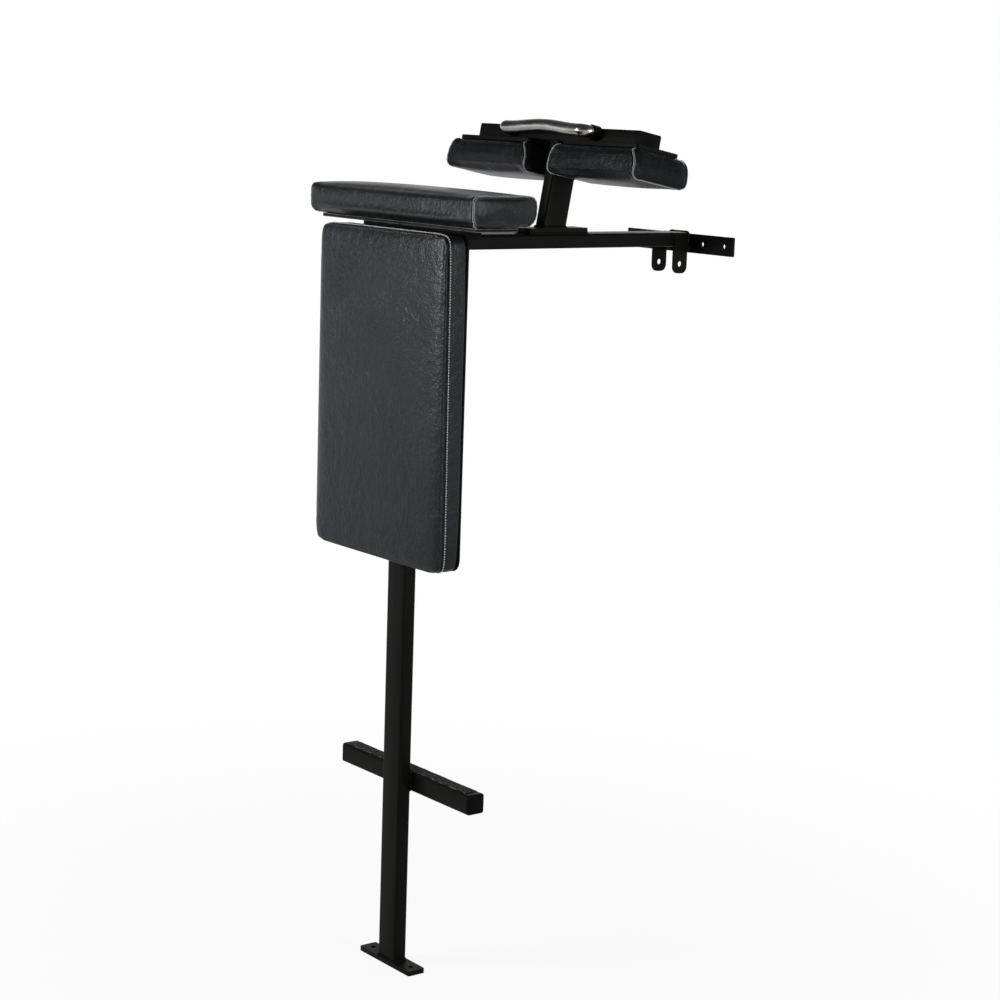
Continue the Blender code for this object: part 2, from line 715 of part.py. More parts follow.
def hold_downs(head):
    width = CROSS_SPAN / 2 + HOLD_PAST_CROSS - HOLD_FROM_CENTRE
    centre_y = HOLD_BOARD_FRONT + HOLD_BOARD_DEPTH / 2
    screw_y = CROSS_DEPTH / 2
    places = hold_bolt_places()
    over = 2 * HOLD_PAD_OVER_BOARD
    size = (width + over, HOLD_BOARD_DEPTH + over, HOLD_PAD_THICKNESS)
    swell = (HOLD_PAD_END_SWELL, HOLD_PAD_BACK_SWELL, HOLD_PAD_FRONT_SWELL)
    for side, word in ((-1, "left"), (1, "right")):
        x = side * (HOLD_FROM_CENTRE + width / 2)
        outline = rounded_outline(width, HOLD_BOARD_DEPTH, HOLD_BOARD_CORNER)
        board = extruded("hold_down_board_" + word, [outline], HOLD_BOARD_THICKNESS)
        laid(board, ALONG_Z, (x, centre_y, -GAP - HOLD_BOARD_THICKNESS / 2))
        board.parent = head
        bevelled(board, BOARD_EDGE, 1)
        for place in places:
            if place * side > 0:
                hole = cylinder_cutter("board_hole", SCREW_HOLE,
                                       (place, screw_y, -2 * HOLD_BOARD_THICKNESS),
                                       (place, screw_y, HOLD_BOARD_THICKNESS), head)
                drilled(board, hole)
        finish(board, BOARD_BLACK)
        bm = cushion_cage(size, swell, (SLOW_FULL, SLOW_FULL), PAD_CROWN, ROLL, END_CORNER,
                          "ends", (4, 3))
        face_down = Matrix.Rotation(pi, 4, "X")
        seat = Vector((x, centre_y, -2 * GAP - HOLD_BOARD_THICKNESS))
        cushion("hold_down_pad_" + word, bm, Matrix.Translation(seat) @ face_down, head)
    for number, place in enumerate(places, 1):
        button_screw(f"hold_down_screw_{number}", (place, screw_y, TUBE_WALL + GAP),
                     (0, 0, -1), TUBE_WALL + GAP + HOLD_BOARD_THICKNESS, head)


def knee_rest():
    centre = (BRACKET_FRONT + BRACKET_DEPTH / 2, BRACKET_BOTTOM + BRACKET_HEIGHT / 2)
    tube_end = BRACKET_SPAN / 2 - CAP_THICKNESS - GAP
    section = hollow_section(BRACKET_DEPTH, BRACKET_HEIGHT, BRACKET_CORNER, TUBE_WALL)
    bracket = extruded("knee_bracket", section, 2 * tube_end)
    laid(bracket, ALONG_X, (0, *centre))
    for side, word in ((-1, "left"), (1, "right")):
        end_cap("knee_bracket_cap_" + word, BRACKET_DEPTH, BRACKET_HEIGHT, BRACKET_CORNER,
                TUBE_WALL, side, tube_end, centre)

    outline = rounded_outline(KNEE_BOARD_WIDTH, KNEE_BOARD_DEPTH, KNEE_BOARD_CORNER)
    board = extruded("knee_board", [outline], KNEE_BOARD_THICKNESS)
    board_y = KNEE_BOARD_FRONT + KNEE_BOARD_DEPTH / 2
    laid(board, ALONG_Z, (0, board_y, KNEE_BOARD_BOTTOM + KNEE_BOARD_THICKNESS / 2))
    bevelled(board, BOARD_EDGE, 1)
    seat_z = BRACKET_BOTTOM + BRACKET_HEIGHT - TUBE_WALL - GAP
    for number, x in enumerate(mirrored([KNEE_BOLT_FROM_CENTRE, KNEE_BOLT_OUTER]), 1):
        access = cylinder_cutter("knee_access_hole", ACCESS_HOLE,
                                 (x, centre[0], BRACKET_BOTTOM - BRACKET_HEIGHT),
                                 (x, centre[0], centre[1]))
        hole = cylinder_cutter("knee_hole", SCREW_HOLE, (x, centre[0], centre[1]),
                               (x, centre[0], KNEE_BOARD_BOTTOM + 2 * KNEE_BOARD_THICKNESS))
        drilled(bracket, access)
        drilled(bracket, hole)
        drilled(board, hole)
        length = TUBE_WALL + 2 * GAP + KNEE_BOARD_THICKNESS
        button_screw(f"knee_screw_{number}", (x, centre[0], seat_z), (0, 0, 1), length)
    finish(bracket, COATED_STEEL)
    finish(board, BOARD_BLACK)

    size = (KNEE_BOARD_WIDTH, KNEE_BOARD_DEPTH, KNEE_THICKNESS)
    swell = (KNEE_END_SWELL, KNEE_FRONT_SWELL, KNEE_BACK_SWELL)
    bm = cushion_cage(size, swell, (QUICK_FULL, SLOW_FULL), KNEE_CROWN, ROLL, END_CORNER,
                      "ends", (6, 3))
    seat = (0, board_y, KNEE_BOARD_BOTTOM + KNEE_BOARD_THICKNESS + GAP)
    cushion("knee_cushion", bm, Matrix.Translation(seat))


def back_rest():
    centre_z = BACK_BOTTOM + BACK_HEIGHT / 2
    margin = 2 * BACK_BOARD_MARGIN
    outline = rounded_outline(BACK_WIDTH - margin, BACK_HEIGHT - margin, BACK_CORNER)
    board = extruded("back_board", [outline], BACK_BOARD_THICKNESS)
    board_y = BACK_BOARD_BACK - BACK_BOARD_THICKNESS / 2
    laid(board, ALONG_Y, (0, board_y, centre_z))
    bevelled(board, PLATE_EDGE, 1)
    head_y = POST_HALF + GAP + WASHER_THICKNESS + GAP
    length = head_y - BACK_BOARD_BACK + BACK_BOARD_THICKNESS
    inner, outer = SCREW_HOLE / 2, WASHER_DIAMETER / 2
    ring = [(outer, WASHER_THICKNESS), (outer, 0), (inner, 0), (inner, WASHER_THICKNESS)]
    for word, height in zip(("lower", "upper"), BACK_BOLTS):
        hole = cylinder_cutter("back_board_hole", SCREW_HOLE, (0, -POST_DEPTH, height),
                               (0, 0, height))
        drilled(board, hole)
        button_screw("back_pad_screw_" + word, (0, head_y, height), (0, -1, 0), length)
        placed_turned("back_pad_washer_" + word, ring, (0, POST_HALF + GAP, height),
                      (0, 1, 0), DARK_ZINC, None, WASHER_STEPS)
    finish(board, BOARD_BLACK)

    tuck = 2 * BACK_TUCK
    size = (BACK_WIDTH - tuck, BACK_HEIGHT - tuck, BACK_THICKNESS)
    bm = cushion_cage(size, (BACK_TUCK, BACK_TUCK, BACK_TUCK), (QUICK_FULL, QUICK_FULL),
                      PAD_CROWN, FOLD, BACK_CORNER, "sides", (5, 6))
    seat = Vector((0, BACK_BOARD_BACK - BACK_BOARD_THICKNESS - GAP, centre_z))
    cushion("back_pad", bm, Matrix.Translation(seat) @ Matrix.Rotation(pi / 2, 4, "X"))


def build():
    post()
    arm()
    foot_plate()
    step()
    rig_plate()
    ears()
    head = head_frame()
    riser(head)
    cross_member(head)
    handle(head)
    hold_downs(head)
    knee_rest()
    back_rest()


build()
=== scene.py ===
"""Looks, light and camera for a rig-mounted abdominal bench.

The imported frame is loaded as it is. Its cushions, handle, grip strip and back screws are built
again in full detail, weld beads, seams and stitches are added, and every piece gets its finish.
Sizes are in metres: +X across the pads, +Y from the post back to the rig, +Z up.
"""

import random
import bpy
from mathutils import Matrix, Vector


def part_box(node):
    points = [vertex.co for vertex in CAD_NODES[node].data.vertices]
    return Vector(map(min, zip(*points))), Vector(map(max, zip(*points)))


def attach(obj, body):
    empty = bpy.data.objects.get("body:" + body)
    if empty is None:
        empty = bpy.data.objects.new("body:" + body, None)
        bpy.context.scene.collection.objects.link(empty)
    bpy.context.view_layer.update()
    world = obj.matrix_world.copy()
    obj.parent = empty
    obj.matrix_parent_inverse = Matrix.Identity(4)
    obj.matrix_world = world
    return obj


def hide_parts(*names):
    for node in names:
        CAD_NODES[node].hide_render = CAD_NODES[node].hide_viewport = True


bl_info = {
    "name": "Abdominal bench looks",
    "version": (1, 0, 0),
    "blender": (4, 5, 0),
    "location": "3D View > Sidebar > Bench",
    "description": "Dresses the bench's frame, cushions and handle, and sets its studio",
    "category": "Object",
}

from contextlib import contextmanager
from math import atan2, cos, pi, radians, sin
from types import SimpleNamespace

import bmesh
import bpy
from bpy.props import FloatProperty, FloatVectorProperty, IntProperty, PointerProperty
from mathutils import Matrix, Vector, noise
from mathutils.bvhtree import BVHTree

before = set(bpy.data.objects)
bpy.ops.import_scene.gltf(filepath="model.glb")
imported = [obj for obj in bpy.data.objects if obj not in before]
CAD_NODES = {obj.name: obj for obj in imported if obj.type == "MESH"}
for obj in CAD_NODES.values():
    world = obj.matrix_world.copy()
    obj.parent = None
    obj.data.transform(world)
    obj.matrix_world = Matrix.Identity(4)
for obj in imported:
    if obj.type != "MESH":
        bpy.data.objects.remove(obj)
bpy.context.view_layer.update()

MM = 0.001
MERGE = 0.01 * MM
SMOOTH_BELOW = radians(35)
ROUND_BELOW = radians(80)
X, Y, Z = Matrix.Identity(3)

# The head leans back with the riser. Its own frame starts at the cross-member's lower front edge.
HEAD_LEAN = radians(10.5)
HEAD_ORIGIN = Vector((0, 349.44 * MM, 1672.24 * MM))
HEAD = Matrix.Translation(HEAD_ORIGIN) @ Matrix.Rotation(-HEAD_LEAN, 4, "X")
HEAD_TURN = HEAD.to_3x3()


# Settings


class BenchCoverSettings(bpy.types.PropertyGroup):
    """The cushions' cover, seams and thread."""

    colour: FloatVectorProperty(
        name="Cover colour", description="Leatherette between its creases", subtype="COLOR",
        default=(0.0116, 0.0128, 0.0168))
    # The welt's pale colour is a painted highlight on the dark leatherette.
    welt_highlight_colour: FloatVectorProperty(
        name="Welt highlight colour", description="The raised edge beside an end seam", subtype="COLOR",
        default=(0.17, 0.172, 0.178))
    thread_colour: FloatVectorProperty(
        name="Thread colour", description="Sewing thread", subtype="COLOR",
        default=(0.85, 0.85, 0.82))
    stitch_pitch: FloatProperty(
        name="Stitch pitch", description="From one stitch to the next", unit="LENGTH",
        default=5.1 * MM)
    stitch_length: FloatProperty(
        name="Stitch length", description="Thread that shows of each stitch", unit="LENGTH",
        default=2.9 * MM)
    thread: FloatProperty(
        name="Thread diameter", description="Sewing thread", unit="LENGTH", default=2.4 * MM)
    welt: FloatProperty(
        name="Welt diameter", description="Raised edge beside an end seam", unit="LENGTH",
        default=1.6 * MM)
    end_inset: FloatProperty(
        name="End seam inset", description="From a cushion's end to its end seam",
        unit="LENGTH", default=4 * MM)
    back_thickness: FloatProperty(
        name="Back pad thickness", description="From its board to the edges of its face",
        unit="LENGTH", default=52 * MM)
    back_seam: FloatProperty(
        name="Back seam depth", description="From the back pad's face to its seam, halfway up",
        unit="LENGTH", default=12.2 * MM)
    back_seam_lean: FloatProperty(
        name="Back seam lean", description="How the back pad's seam leans towards its board",
        subtype="ANGLE", default=radians(0.62))
    fold: FloatProperty(
        name="Fold radius", description="Where a cushion's face turns into its sides",
        unit="LENGTH", default=13 * MM)
    groove: FloatProperty(
        name="Seam depth", description="How far a seam is drawn in", unit="LENGTH",
        default=1.7 * MM)
    pressure: FloatProperty(
        name="Foam pressure", description="Pressure under the cover in the simulation",
        default=4.0)
    most_swell: FloatProperty(
        name="Most swell", description="The furthest that the foam pushes the cover",
        unit="LENGTH", default=1.8 * MM)


class BenchSteelSettings(bpy.types.PropertyGroup):
    """The coated frame and the polished handle."""

    coat: FloatVectorProperty(
        name="Coat colour", description="Black powder coat", subtype="COLOR",
        default=(0.0046, 0.0047, 0.0041))
    polish: FloatVectorProperty(
        name="Polish colour", description="The handle's steel", subtype="COLOR",
        default=(0.40, 0.385, 0.35))
    bead: FloatProperty(
        name="Weld bead radius", description="Beads between tubes and plates", unit="LENGTH",
        default=3.2 * MM)
    seed: IntProperty(
        name="Weld seed", description="Starts the beads' small irregularities", default=7)


class BenchStageSettings(bpy.types.PropertyGroup):
    """The studio: camera, lamps and surroundings."""

    lens: FloatProperty(
        name="Lens", description="Focal length on a 36 mm sensor", unit="CAMERA", default=83.011)
    heading: FloatProperty(
        name="Camera azimuth", description="Round the bench, from straight ahead of the back pad",
        subtype="ANGLE", default=radians(52.22))
    height: FloatProperty(
        name="Camera elevation", description="Above the horizon", subtype="ANGLE",
        default=radians(9.89))
    roll: FloatProperty(
        name="Camera roll", description="Turn about the line of sight", subtype="ANGLE",
        default=radians(1.91))
    distance: FloatProperty(
        name="Camera distance", description="From the camera to its target", unit="LENGTH",
        default=4322.2 * MM)
    key: FloatProperty(name="Key lamp", description="Power in watts", default=50.0)
    fill: FloatProperty(name="Fill lamp", description="Power in watts", default=44.0)
    rim: FloatProperty(name="Back lamp", description="Power in watts", default=18.0)
    surround: FloatProperty(
        name="Surround", description="Strength of the studio's walls as light", default=0.3)


SETTINGS = {
    "bench_cover": BenchCoverSettings,
    "bench_steel": BenchSteelSettings,
    "bench_stage": BenchStageSettings,
}


# Pieces


def placed(name, bm):
    """Make a bmesh an object of the scene."""
    mesh = bpy.data.meshes.new(name)
    bm.to_mesh(mesh)
    bm.free()
    obj = bpy.data.objects.new(name, mesh)
    bpy.context.scene.collection.objects.link(obj)
    return obj


def piece(name, bm, material, angle=SMOOTH_BELOW):
    """Make a shaded piece of the bench from a bmesh and hang it on the frame."""
    bmesh.ops.recalc_face_normals(bm, faces=bm.faces)
    return dressed(placed(name, bm), material, angle)


def dressed(obj, material, angle=SMOOTH_BELOW):
    """Give a piece its finish, and shade it smooth where its faces meet below an angle."""
    obj.data.materials.clear()
    obj.data.materials.append(material)
    obj.data.shade_smooth()
    obj.data.set_sharp_from_angle(angle=angle)
    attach(obj, "root")
    return obj


def applied(obj):
    """Make the mesh that an object's modifiers give its own mesh."""
    graph = bpy.context.evaluated_depsgraph_get()
    mesh = bpy.data.meshes.new_from_object(obj.evaluated_get(graph))
    obj.modifiers.clear()
    old = obj.data
    obj.data = mesh
    bpy.data.meshes.remove(old)
    return obj


@contextmanager
def opened(obj, keep=True):
    """A bmesh of an object's mesh, written back at the end unless it is only looked at."""
    bm = bmesh.new()
    bm.from_mesh(obj.data)
    yield bm
    if keep:
        bm.to_mesh(obj.data)
    bm.free()


def merged_copy(node):
    """A bmesh copy of a CAD node with its loose triangles joined."""
    bm = bmesh.new()
    bm.from_mesh(CAD_NODES[node].data)
    bmesh.ops.remove_doubles(bm, verts=bm.verts, dist=MERGE)
    return bm


def resampled(points, pitch, closed):
    """Points at an even pitch along a route, each with the route's direction there."""
    path = list(points) + ([points[0]] if closed else [])
    lengths = [0.0]
    for first, second in zip(path, path[1:]):
        lengths.append(lengths[-1] + (second - first).length)
    count = max(2, round(lengths[-1] / pitch))
    places = []
    segment = 0
    for step in range(count if closed else count + 1):
        target = lengths[-1] * step / count
        while segment < len(path) - 2 and lengths[segment + 1] < target:
            segment += 1
        share = (target - lengths[segment]) / max(lengths[segment + 1] - lengths[segment], 1e-9)
        start, end = path[segment], path[segment + 1]
        places.append((start.lerp(end, share), (end - start).normalized()))
    return places


def tubes(name, routes, closed, roundness):
    """Round tubes as one bmesh. Each route lists places, each with the radius there.

    roundness is the steps in each quarter of a tube's outline, less one.
    """
    curve = bpy.data.curves.new(name, "CURVE")
    curve.dimensions = "3D"
    curve.bevel_depth = 1
    curve.bevel_resolution = roundness
    curve.use_fill_caps = not closed
    for route in routes:
        spline = curve.splines.new("POLY")
        spline.points.add(len(route) - 1)
        for point, (place, radius) in zip(spline.points, route):
            point.co = (*place, 1)
            point.radius = radius
        spline.use_cyclic_u = closed
    drawn = bpy.data.objects.new(name, curve)
    bpy.context.scene.collection.objects.link(drawn)
    graph = bpy.context.evaluated_depsgraph_get()
    mesh = bpy.data.meshes.new_from_object(drawn.evaluated_get(graph))
    bm = bmesh.new()
    bm.from_mesh(mesh)
    bpy.data.objects.remove(drawn, do_unlink=True)
    bpy.data.curves.remove(curve)
    bpy.data.meshes.remove(mesh)
    bmesh.ops.remove_doubles(bm, verts=bm.verts, dist=MERGE)
    return bm


# Shader groups


def put(tree, kind, inputs=None, **settings):
    """Add a node. An input is set to a value, or linked where it is given a socket."""
    node = tree.nodes.new(kind)
    for key, value in settings.items():
        setattr(node, key, value)
    for key, value in (inputs or {}).items():
        if isinstance(value, bpy.types.NodeSocket):
            tree.links.new(value, node.inputs[key])
        else:
            node.inputs[key].default_value = value
    return node


def group_of(name, inputs, outputs):
    """An empty shader group with its ends.

    inputs maps labels to defaults, with None for a vector, and outputs lists labels.
    """
    tree = bpy.data.node_groups.new(name, "ShaderNodeTree")
    for label, default in inputs.items():
        kind = "NodeSocketVector" if default is None else "NodeSocketFloat"
        socket = tree.interface.new_socket(label, in_out="INPUT", socket_type=kind)
        if default is not None:
            socket.default_value = default
    for label in outputs:
        tree.interface.new_socket(label, in_out="OUTPUT", socket_type="NodeSocketFloat")
    return tree, tree.nodes.new("NodeGroupInput").outputs, tree.nodes.new("NodeGroupOutput")


def math(tree, operation, first, second=0.0):
    return put(tree, "ShaderNodeMath", {0: first, 1: second}, operation=operation).outputs[0]


def times(tree, first, second):
    return math(tree, "MULTIPLY", first, second)


def larger(tree, first, second):
    return math(tree, "MAXIMUM", first, second)


def mapped(tree, vector, **values):
    return put(tree, "ShaderNodeMapping", {"Vector": vector, **values}).outputs[0]


def ranged(tree, value, low, high, to_low=0.0, to_high=1.0):
    inputs = {"Value": value, "From Min": low, "From Max": high, "To Min": to_low,
              "To Max": to_high}
    return put(tree, "ShaderNodeMapRange", inputs).outputs["Result"]


def speckle(tree, vector, scale, detail=2.0, roughness=0.5):
    inputs = {"Vector": vector, "Scale": scale, "Detail": detail, "Roughness": roughness}
    return put(tree, "ShaderNodeTexNoise", inputs).outputs[0]


def leather_group():
    """Grain cells, scattered creases and slow changes of tone, as heights and masks."""
    tree, ends, out = group_of(
        "leather_grain",
        {"Vector": None, "Grain": 620.0, "Crease": 17.0, "Crease Depth": 1.0},
        ("Height", "Tone", "Wear"))
    vector = ends["Vector"]
    drift = put(tree, "ShaderNodeTexNoise", {"Vector": vector, "Scale": 14.0, "Detail": 3.0})
    shift = put(tree, "ShaderNodeVectorMath", {0: drift.outputs["Color"], "Scale": 0.055},
                operation="SCALE")
    warped = put(tree, "ShaderNodeVectorMath", {0: vector, 1: shift.outputs[0]},
                 operation="ADD").outputs[0]
    cells = put(tree, "ShaderNodeTexVoronoi",
                {"Vector": vector, "Scale": ends["Grain"], "Smoothness": 0.6},
                feature="SMOOTH_F1").outputs["Distance"]
    pebbles = ranged(tree, cells, 0.1, 0.8, 1.0, 0.0)
    lines = []
    for factor, width in ((1.0, 0.030), (2.3, 0.045)):
        scale = times(tree, ends["Crease"], factor)
        edge = put(tree, "ShaderNodeTexVoronoi", {"Vector": warped, "Scale": scale},
                   feature="DISTANCE_TO_EDGE").outputs["Distance"]
        line = ranged(tree, edge, 0.0, width, 1.0, 0.0)
        where = ranged(tree, speckle(tree, vector, 7.0 * factor), 0.5, 0.66)
        lines.append(times(tree, line, where))
    slanted = mapped(tree, warped, Rotation=(0.0, radians(-32), 0.0), Scale=(1.0, 1.0, 0.16))
    waves = speckle(tree, slanted, 150.0)
    ridge = ranged(tree, math(tree, "ABSOLUTE", math(tree, "SUBTRACT", waves, 0.5)),
                   0.0, 0.03, 1.0, 0.0)
    patch = ranged(tree, speckle(tree, vector, 9.0), 0.56, 0.68)
    wrinkle = times(tree, ridge, patch)
    crease = larger(tree, larger(tree, lines[0], lines[1]), wrinkle)
    deep = times(tree, crease, ends["Crease Depth"])
    grain = times(tree, pebbles, 0.42)
    soft = times(tree, speckle(tree, vector, 190.0, 3.0, 0.6), 3.0)
    broad = times(tree, speckle(tree, vector, 48.0, 3.0, 0.6), 9.0)
    rolling = math(tree, "ADD", soft, broad)
    height = math(tree, "SUBTRACT", math(tree, "ADD", grain, rolling), deep)
    tree.links.new(height, out.inputs["Height"])
    slow = speckle(tree, vector, 5.0, 3.0, 0.55)
    quick = speckle(tree, vector, 210.0, 2.0, 0.7)
    tone = math(tree, "ADD", ranged(tree, slow, 0.3, 0.7, 0.0, 0.5),
                ranged(tree, quick, 0.35, 0.65, 0.0, 0.5))
    tree.links.new(tone, out.inputs["Tone"])
    tree.links.new(crease, out.inputs["Wear"])
    return tree


def coat_group():
    """Orange-peel height, and a mask for dust and rubbed places."""
    tree, ends, out = group_of(
        "coat_texture", {"Vector": None, "Peel": 420.0, "Grit": 1500.0}, ("Height", "Dust"))
    vector = ends["Vector"]
    peel = speckle(tree, vector, ends["Peel"])
    grit = speckle(tree, vector, ends["Grit"], 1.0)
    height = math(tree, "ADD", peel, times(tree, grit, 0.35))
    tree.links.new(height, out.inputs["Height"])
    clouds = ranged(tree, speckle(tree, vector, 11.0, 4.0, 0.7), 0.45, 0.8)
    specks = ranged(tree, speckle(tree, vector, 320.0, 2.0, 0.6), 0.4, 0.7)
    tree.links.new(times(tree, clouds, specks), out.inputs["Dust"])
    return tree


def polish_group():
    """Fine polishing lines along X, and slow smears in the sheen."""
    tree, ends, out = group_of("polish_lines", {"Vector": None, "Fine": 900.0},
                               ("Height", "Smear"))
    stretched = mapped(tree, ends["Vector"], Scale=(0.03, 1.0, 1.0))
    tree.links.new(speckle(tree, stretched, ends["Fine"], 3.0, 0.6), out.inputs["Height"])
    smeared = mapped(tree, ends["Vector"], Scale=(0.35, 1.0, 1.0))
    tree.links.new(speckle(tree, smeared, 55.0, 3.0, 0.6), out.inputs["Smear"])
    return tree


GROUP_MAKERS = {"leather_grain": leather_group, "coat_texture": coat_group,
                "polish_lines": polish_group}


def object_place(tree):
    return put(tree, "ShaderNodeTexCoord").outputs["Object"]


def shared(tree, name, **values):
    """Place a shared group in a material, fed with Object coordinates."""
    group = bpy.data.node_groups.get(name) or GROUP_MAKERS[name]()
    inputs = {"Vector": object_place(tree), **values}
    return put(tree, "ShaderNodeGroup", inputs, node_tree=group)


# Materials


def blank_material(name, roughness, metallic=0.0, specular=0.5, sheen=0.0):
    """A material with one Principled shader, whose plain numbers are set on its own sockets."""
    material = bpy.data.materials.new(name)
    material.use_nodes = True
    tree = material.node_tree
    shader = tree.nodes["Principled BSDF"]
    shader.inputs["Roughness"].default_value = roughness
    shader.inputs["Metallic"].default_value = metallic
    shader.inputs["Specular IOR Level"].default_value = specular
    shader.inputs["Sheen Weight"].default_value = sheen
    return material, tree, shader


def scaled(colour, factor):
    return tuple(channel * factor for channel in colour)


def blended(tree, factor, first, second):
    """A colour between two, by a mask. The first may be another blend's socket."""
    if not isinstance(first, bpy.types.NodeSocket):
        first = (*first, 1)
    return put(tree, "ShaderNodeMix", {0: factor, 6: first, 7: (*second, 1)},
               data_type="RGBA").outputs[2]


def coloured(tree, shader, factor, first, second):
    """Colour a shader with a blend of two colours, by a mask."""
    tree.links.new(blended(tree, factor, first, second), shader.inputs["Base Color"])


def roughened(tree, shader, mask, low, high, to_low, to_high):
    """Set a shader's roughness by a mask, between two values."""
    rough = ranged(tree, mask, low, high, to_low, to_high)
    tree.links.new(rough, shader.inputs["Roughness"])


def bumped(tree, shader, height, distance, strength=1.0):
    bump = put(tree, "ShaderNodeBump", {"Height": height, "Distance": distance,
                                        "Strength": strength})
    tree.links.new(bump.outputs["Normal"], shader.inputs["Normal"])


def cover_material(name, shade=1.0, specular=0.17):
    """Charcoal leatherette: pebbled grain, thin creases with paler rubbed edges."""
    # shade scales the colour: below 1 it is painted shade, as on the hold-down cushions.
    colour = scaled(bpy.context.scene.bench_cover.colour, shade)
    material, tree, shader = blank_material(name, 0.32, specular=specular)
    grain = shared(tree, "leather_grain").outputs
    base = blended(tree, grain["Tone"], scaled(colour, 0.55), scaled(colour, 1.6))
    coloured(tree, shader, times(tree, grain["Wear"], 0.4), base, scaled(colour, 2.4))
    roughened(tree, shader, grain["Tone"], 0.0, 1.0, 0.25, 0.37)
    bumped(tree, shader, grain["Height"], 0.30 * MM, 0.65)
    return material


def shaded_hold_down_material(name):
    """The same leatherette on the hold-down cushions, with its colour darkened as painted shade,
    and duller.
    """
    return cover_material(name, 0.6, 0.08)


def welt_highlight_material(name):
    """The same leatherette over a welt: finer grain and glossier, with a pale colour that is a
    painted highlight along the welt.
    """
    colour = bpy.context.scene.bench_cover.welt_highlight_colour
    material, tree, shader = blank_material(name, 0.3, specular=0.8)
    grain = shared(tree, "leather_grain", **{"Grain": 1100.0, "Crease Depth": 0.2}).outputs
    coloured(tree, shader, grain["Tone"], scaled(colour, 0.85), scaled(colour, 1.2))
    bumped(tree, shader, grain["Height"], 0.12 * MM)
    return material


def thread_material(name):
    """Twisted thread, slightly darker in the low places of its twist."""
    colour = bpy.context.scene.bench_cover.thread_colour
    material, tree, shader = blank_material(name, 0.7, specular=0.3, sheen=0.2)
    twist = put(tree, "ShaderNodeTexWave", {"Vector": object_place(tree), "Scale": 900.0,
                                            "Distortion": 2.0, "Detail": 1.0}).outputs["Fac"]
    coloured(tree, shader, twist, scaled(colour, 0.72), colour)
    bumped(tree, shader, twist, 0.1 * MM)
    return material


def coat_material(name):
    """Satin black powder coat with a slight orange peel and a little dust."""
    colour = bpy.context.scene.bench_steel.coat
    material, tree, shader = blank_material(name, 0.42, specular=0.055)
    texture = shared(tree, "coat_texture").outputs
    coloured(tree, shader, texture["Dust"], colour, scaled(colour, 1.9))
    roughened(tree, shader, texture["Dust"], 0.0, 1.0, 0.36, 0.5)
    bumped(tree, shader, texture["Height"], 0.05 * MM)
    return material


def polish_material(name):
    """Polished stainless steel with fine lines and slow smears."""
    steel = bpy.context.scene.bench_steel.polish
    material, tree, shader = blank_material(name, 0.2, metallic=1.0)
    lines = shared(tree, "polish_lines").outputs
    coloured(tree, shader, lines["Smear"], scaled(steel, 0.45), scaled(steel, 1.5))
    roughened(tree, shader, lines["Smear"], 0.3, 0.7, 0.14, 0.3)
    bumped(tree, shader, lines["Height"], 0.02 * MM)
    return material


def board_material(name):
    """Black painted plywood: a faint grain under matt paint."""
    material, tree, shader = blank_material(name, 0.45, specular=0.05)
    along = mapped(tree, object_place(tree), Scale=(1.0, 14.0, 14.0))
    grain = speckle(tree, along, 26.0, 4.0, 0.6)
    coloured(tree, shader, grain, (0.0040, 0.0040, 0.0040), (0.0085, 0.0083, 0.0080))
    bumped(tree, shader, grain, 0.08 * MM)
    return material


def edge_highlight_material(name):
    """Painted highlight for a board's edges: pale, glossy lines in patches that stand in for the
    light its rounded arrises catch.
    """
    material, tree, shader = blank_material(name, 0.22, specular=0.6)
    # Patches of paler and darker painted highlight along the edge.
    highlight_patches = ranged(tree, speckle(tree, object_place(tree), 35.0, 2.0, 0.6), 0.35, 0.65)
    coloured(tree, shader, highlight_patches, (0.03, 0.03, 0.029), (0.10, 0.10, 0.095))
    return material


def plastic_material(name):
    """Moulded black plastic with a fine matt texture."""
    material, tree, shader = blank_material(name, 0.5, specular=0.04)
    texture = shared(tree, "coat_texture", Peel=900.0, Grit=2600.0).outputs
    coloured(tree, shader, texture["Dust"], (0.0030, 0.0030, 0.0030), (0.0060, 0.0060, 0.0060))
    bumped(tree, shader, texture["Height"], 0.03 * MM)
    return material


def grit_material(name):
    """Mineral grit bound in black: dull grains, a few that glint, and a patchy painted highlight
    along its front edge.
    """
    highlight_start, highlight_end = 1.0 * MM, 3.2 * MM
    material, tree, shader = blank_material(name, 0.85, specular=0.3)
    place = object_place(tree)
    cells = put(tree, "ShaderNodeTexVoronoi", {"Vector": place, "Scale": 1100.0}).outputs
    pick = put(tree, "ShaderNodeSeparateColor", {0: cells["Color"]}).outputs[0]
    glint = ranged(tree, pick, 0.86, 0.94)
    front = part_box("step_grip_strip")[0].y
    depth = put(tree, "ShaderNodeSeparateXYZ", {0: place}).outputs["Y"]
    # A pale band in patches along the front edge: painted highlight where the edge catches light.
    edge = ranged(tree, depth, front + highlight_start, front + highlight_end, 1.0, 0.0)
    grit_edge_highlight = times(tree, edge, ranged(tree, speckle(tree, place, 120.0), 0.5, 0.6))
    dull = blended(tree, glint, (0.0045, 0.0045, 0.0045), (0.03, 0.03, 0.029))
    coloured(tree, shader, grit_edge_highlight, dull, (0.16, 0.16, 0.155))
    roughened(tree, shader, glint, 0.0, 1.0, 0.9, 0.35)
    bumped(tree, shader, cells["Distance"], 0.35 * MM)
    return material


def zinc_material(name):
    """Dark zinc on the screws and washers, rubbed brighter in spots."""
    material, tree, shader = blank_material(name, 0.35, metallic=1.0)
    lines = shared(tree, "polish_lines", Fine=1400.0).outputs
    coloured(tree, shader, lines["Smear"], (0.05, 0.05, 0.052), (0.16, 0.16, 0.165))
    bumped(tree, shader, lines["Height"], 0.02 * MM)
    return material


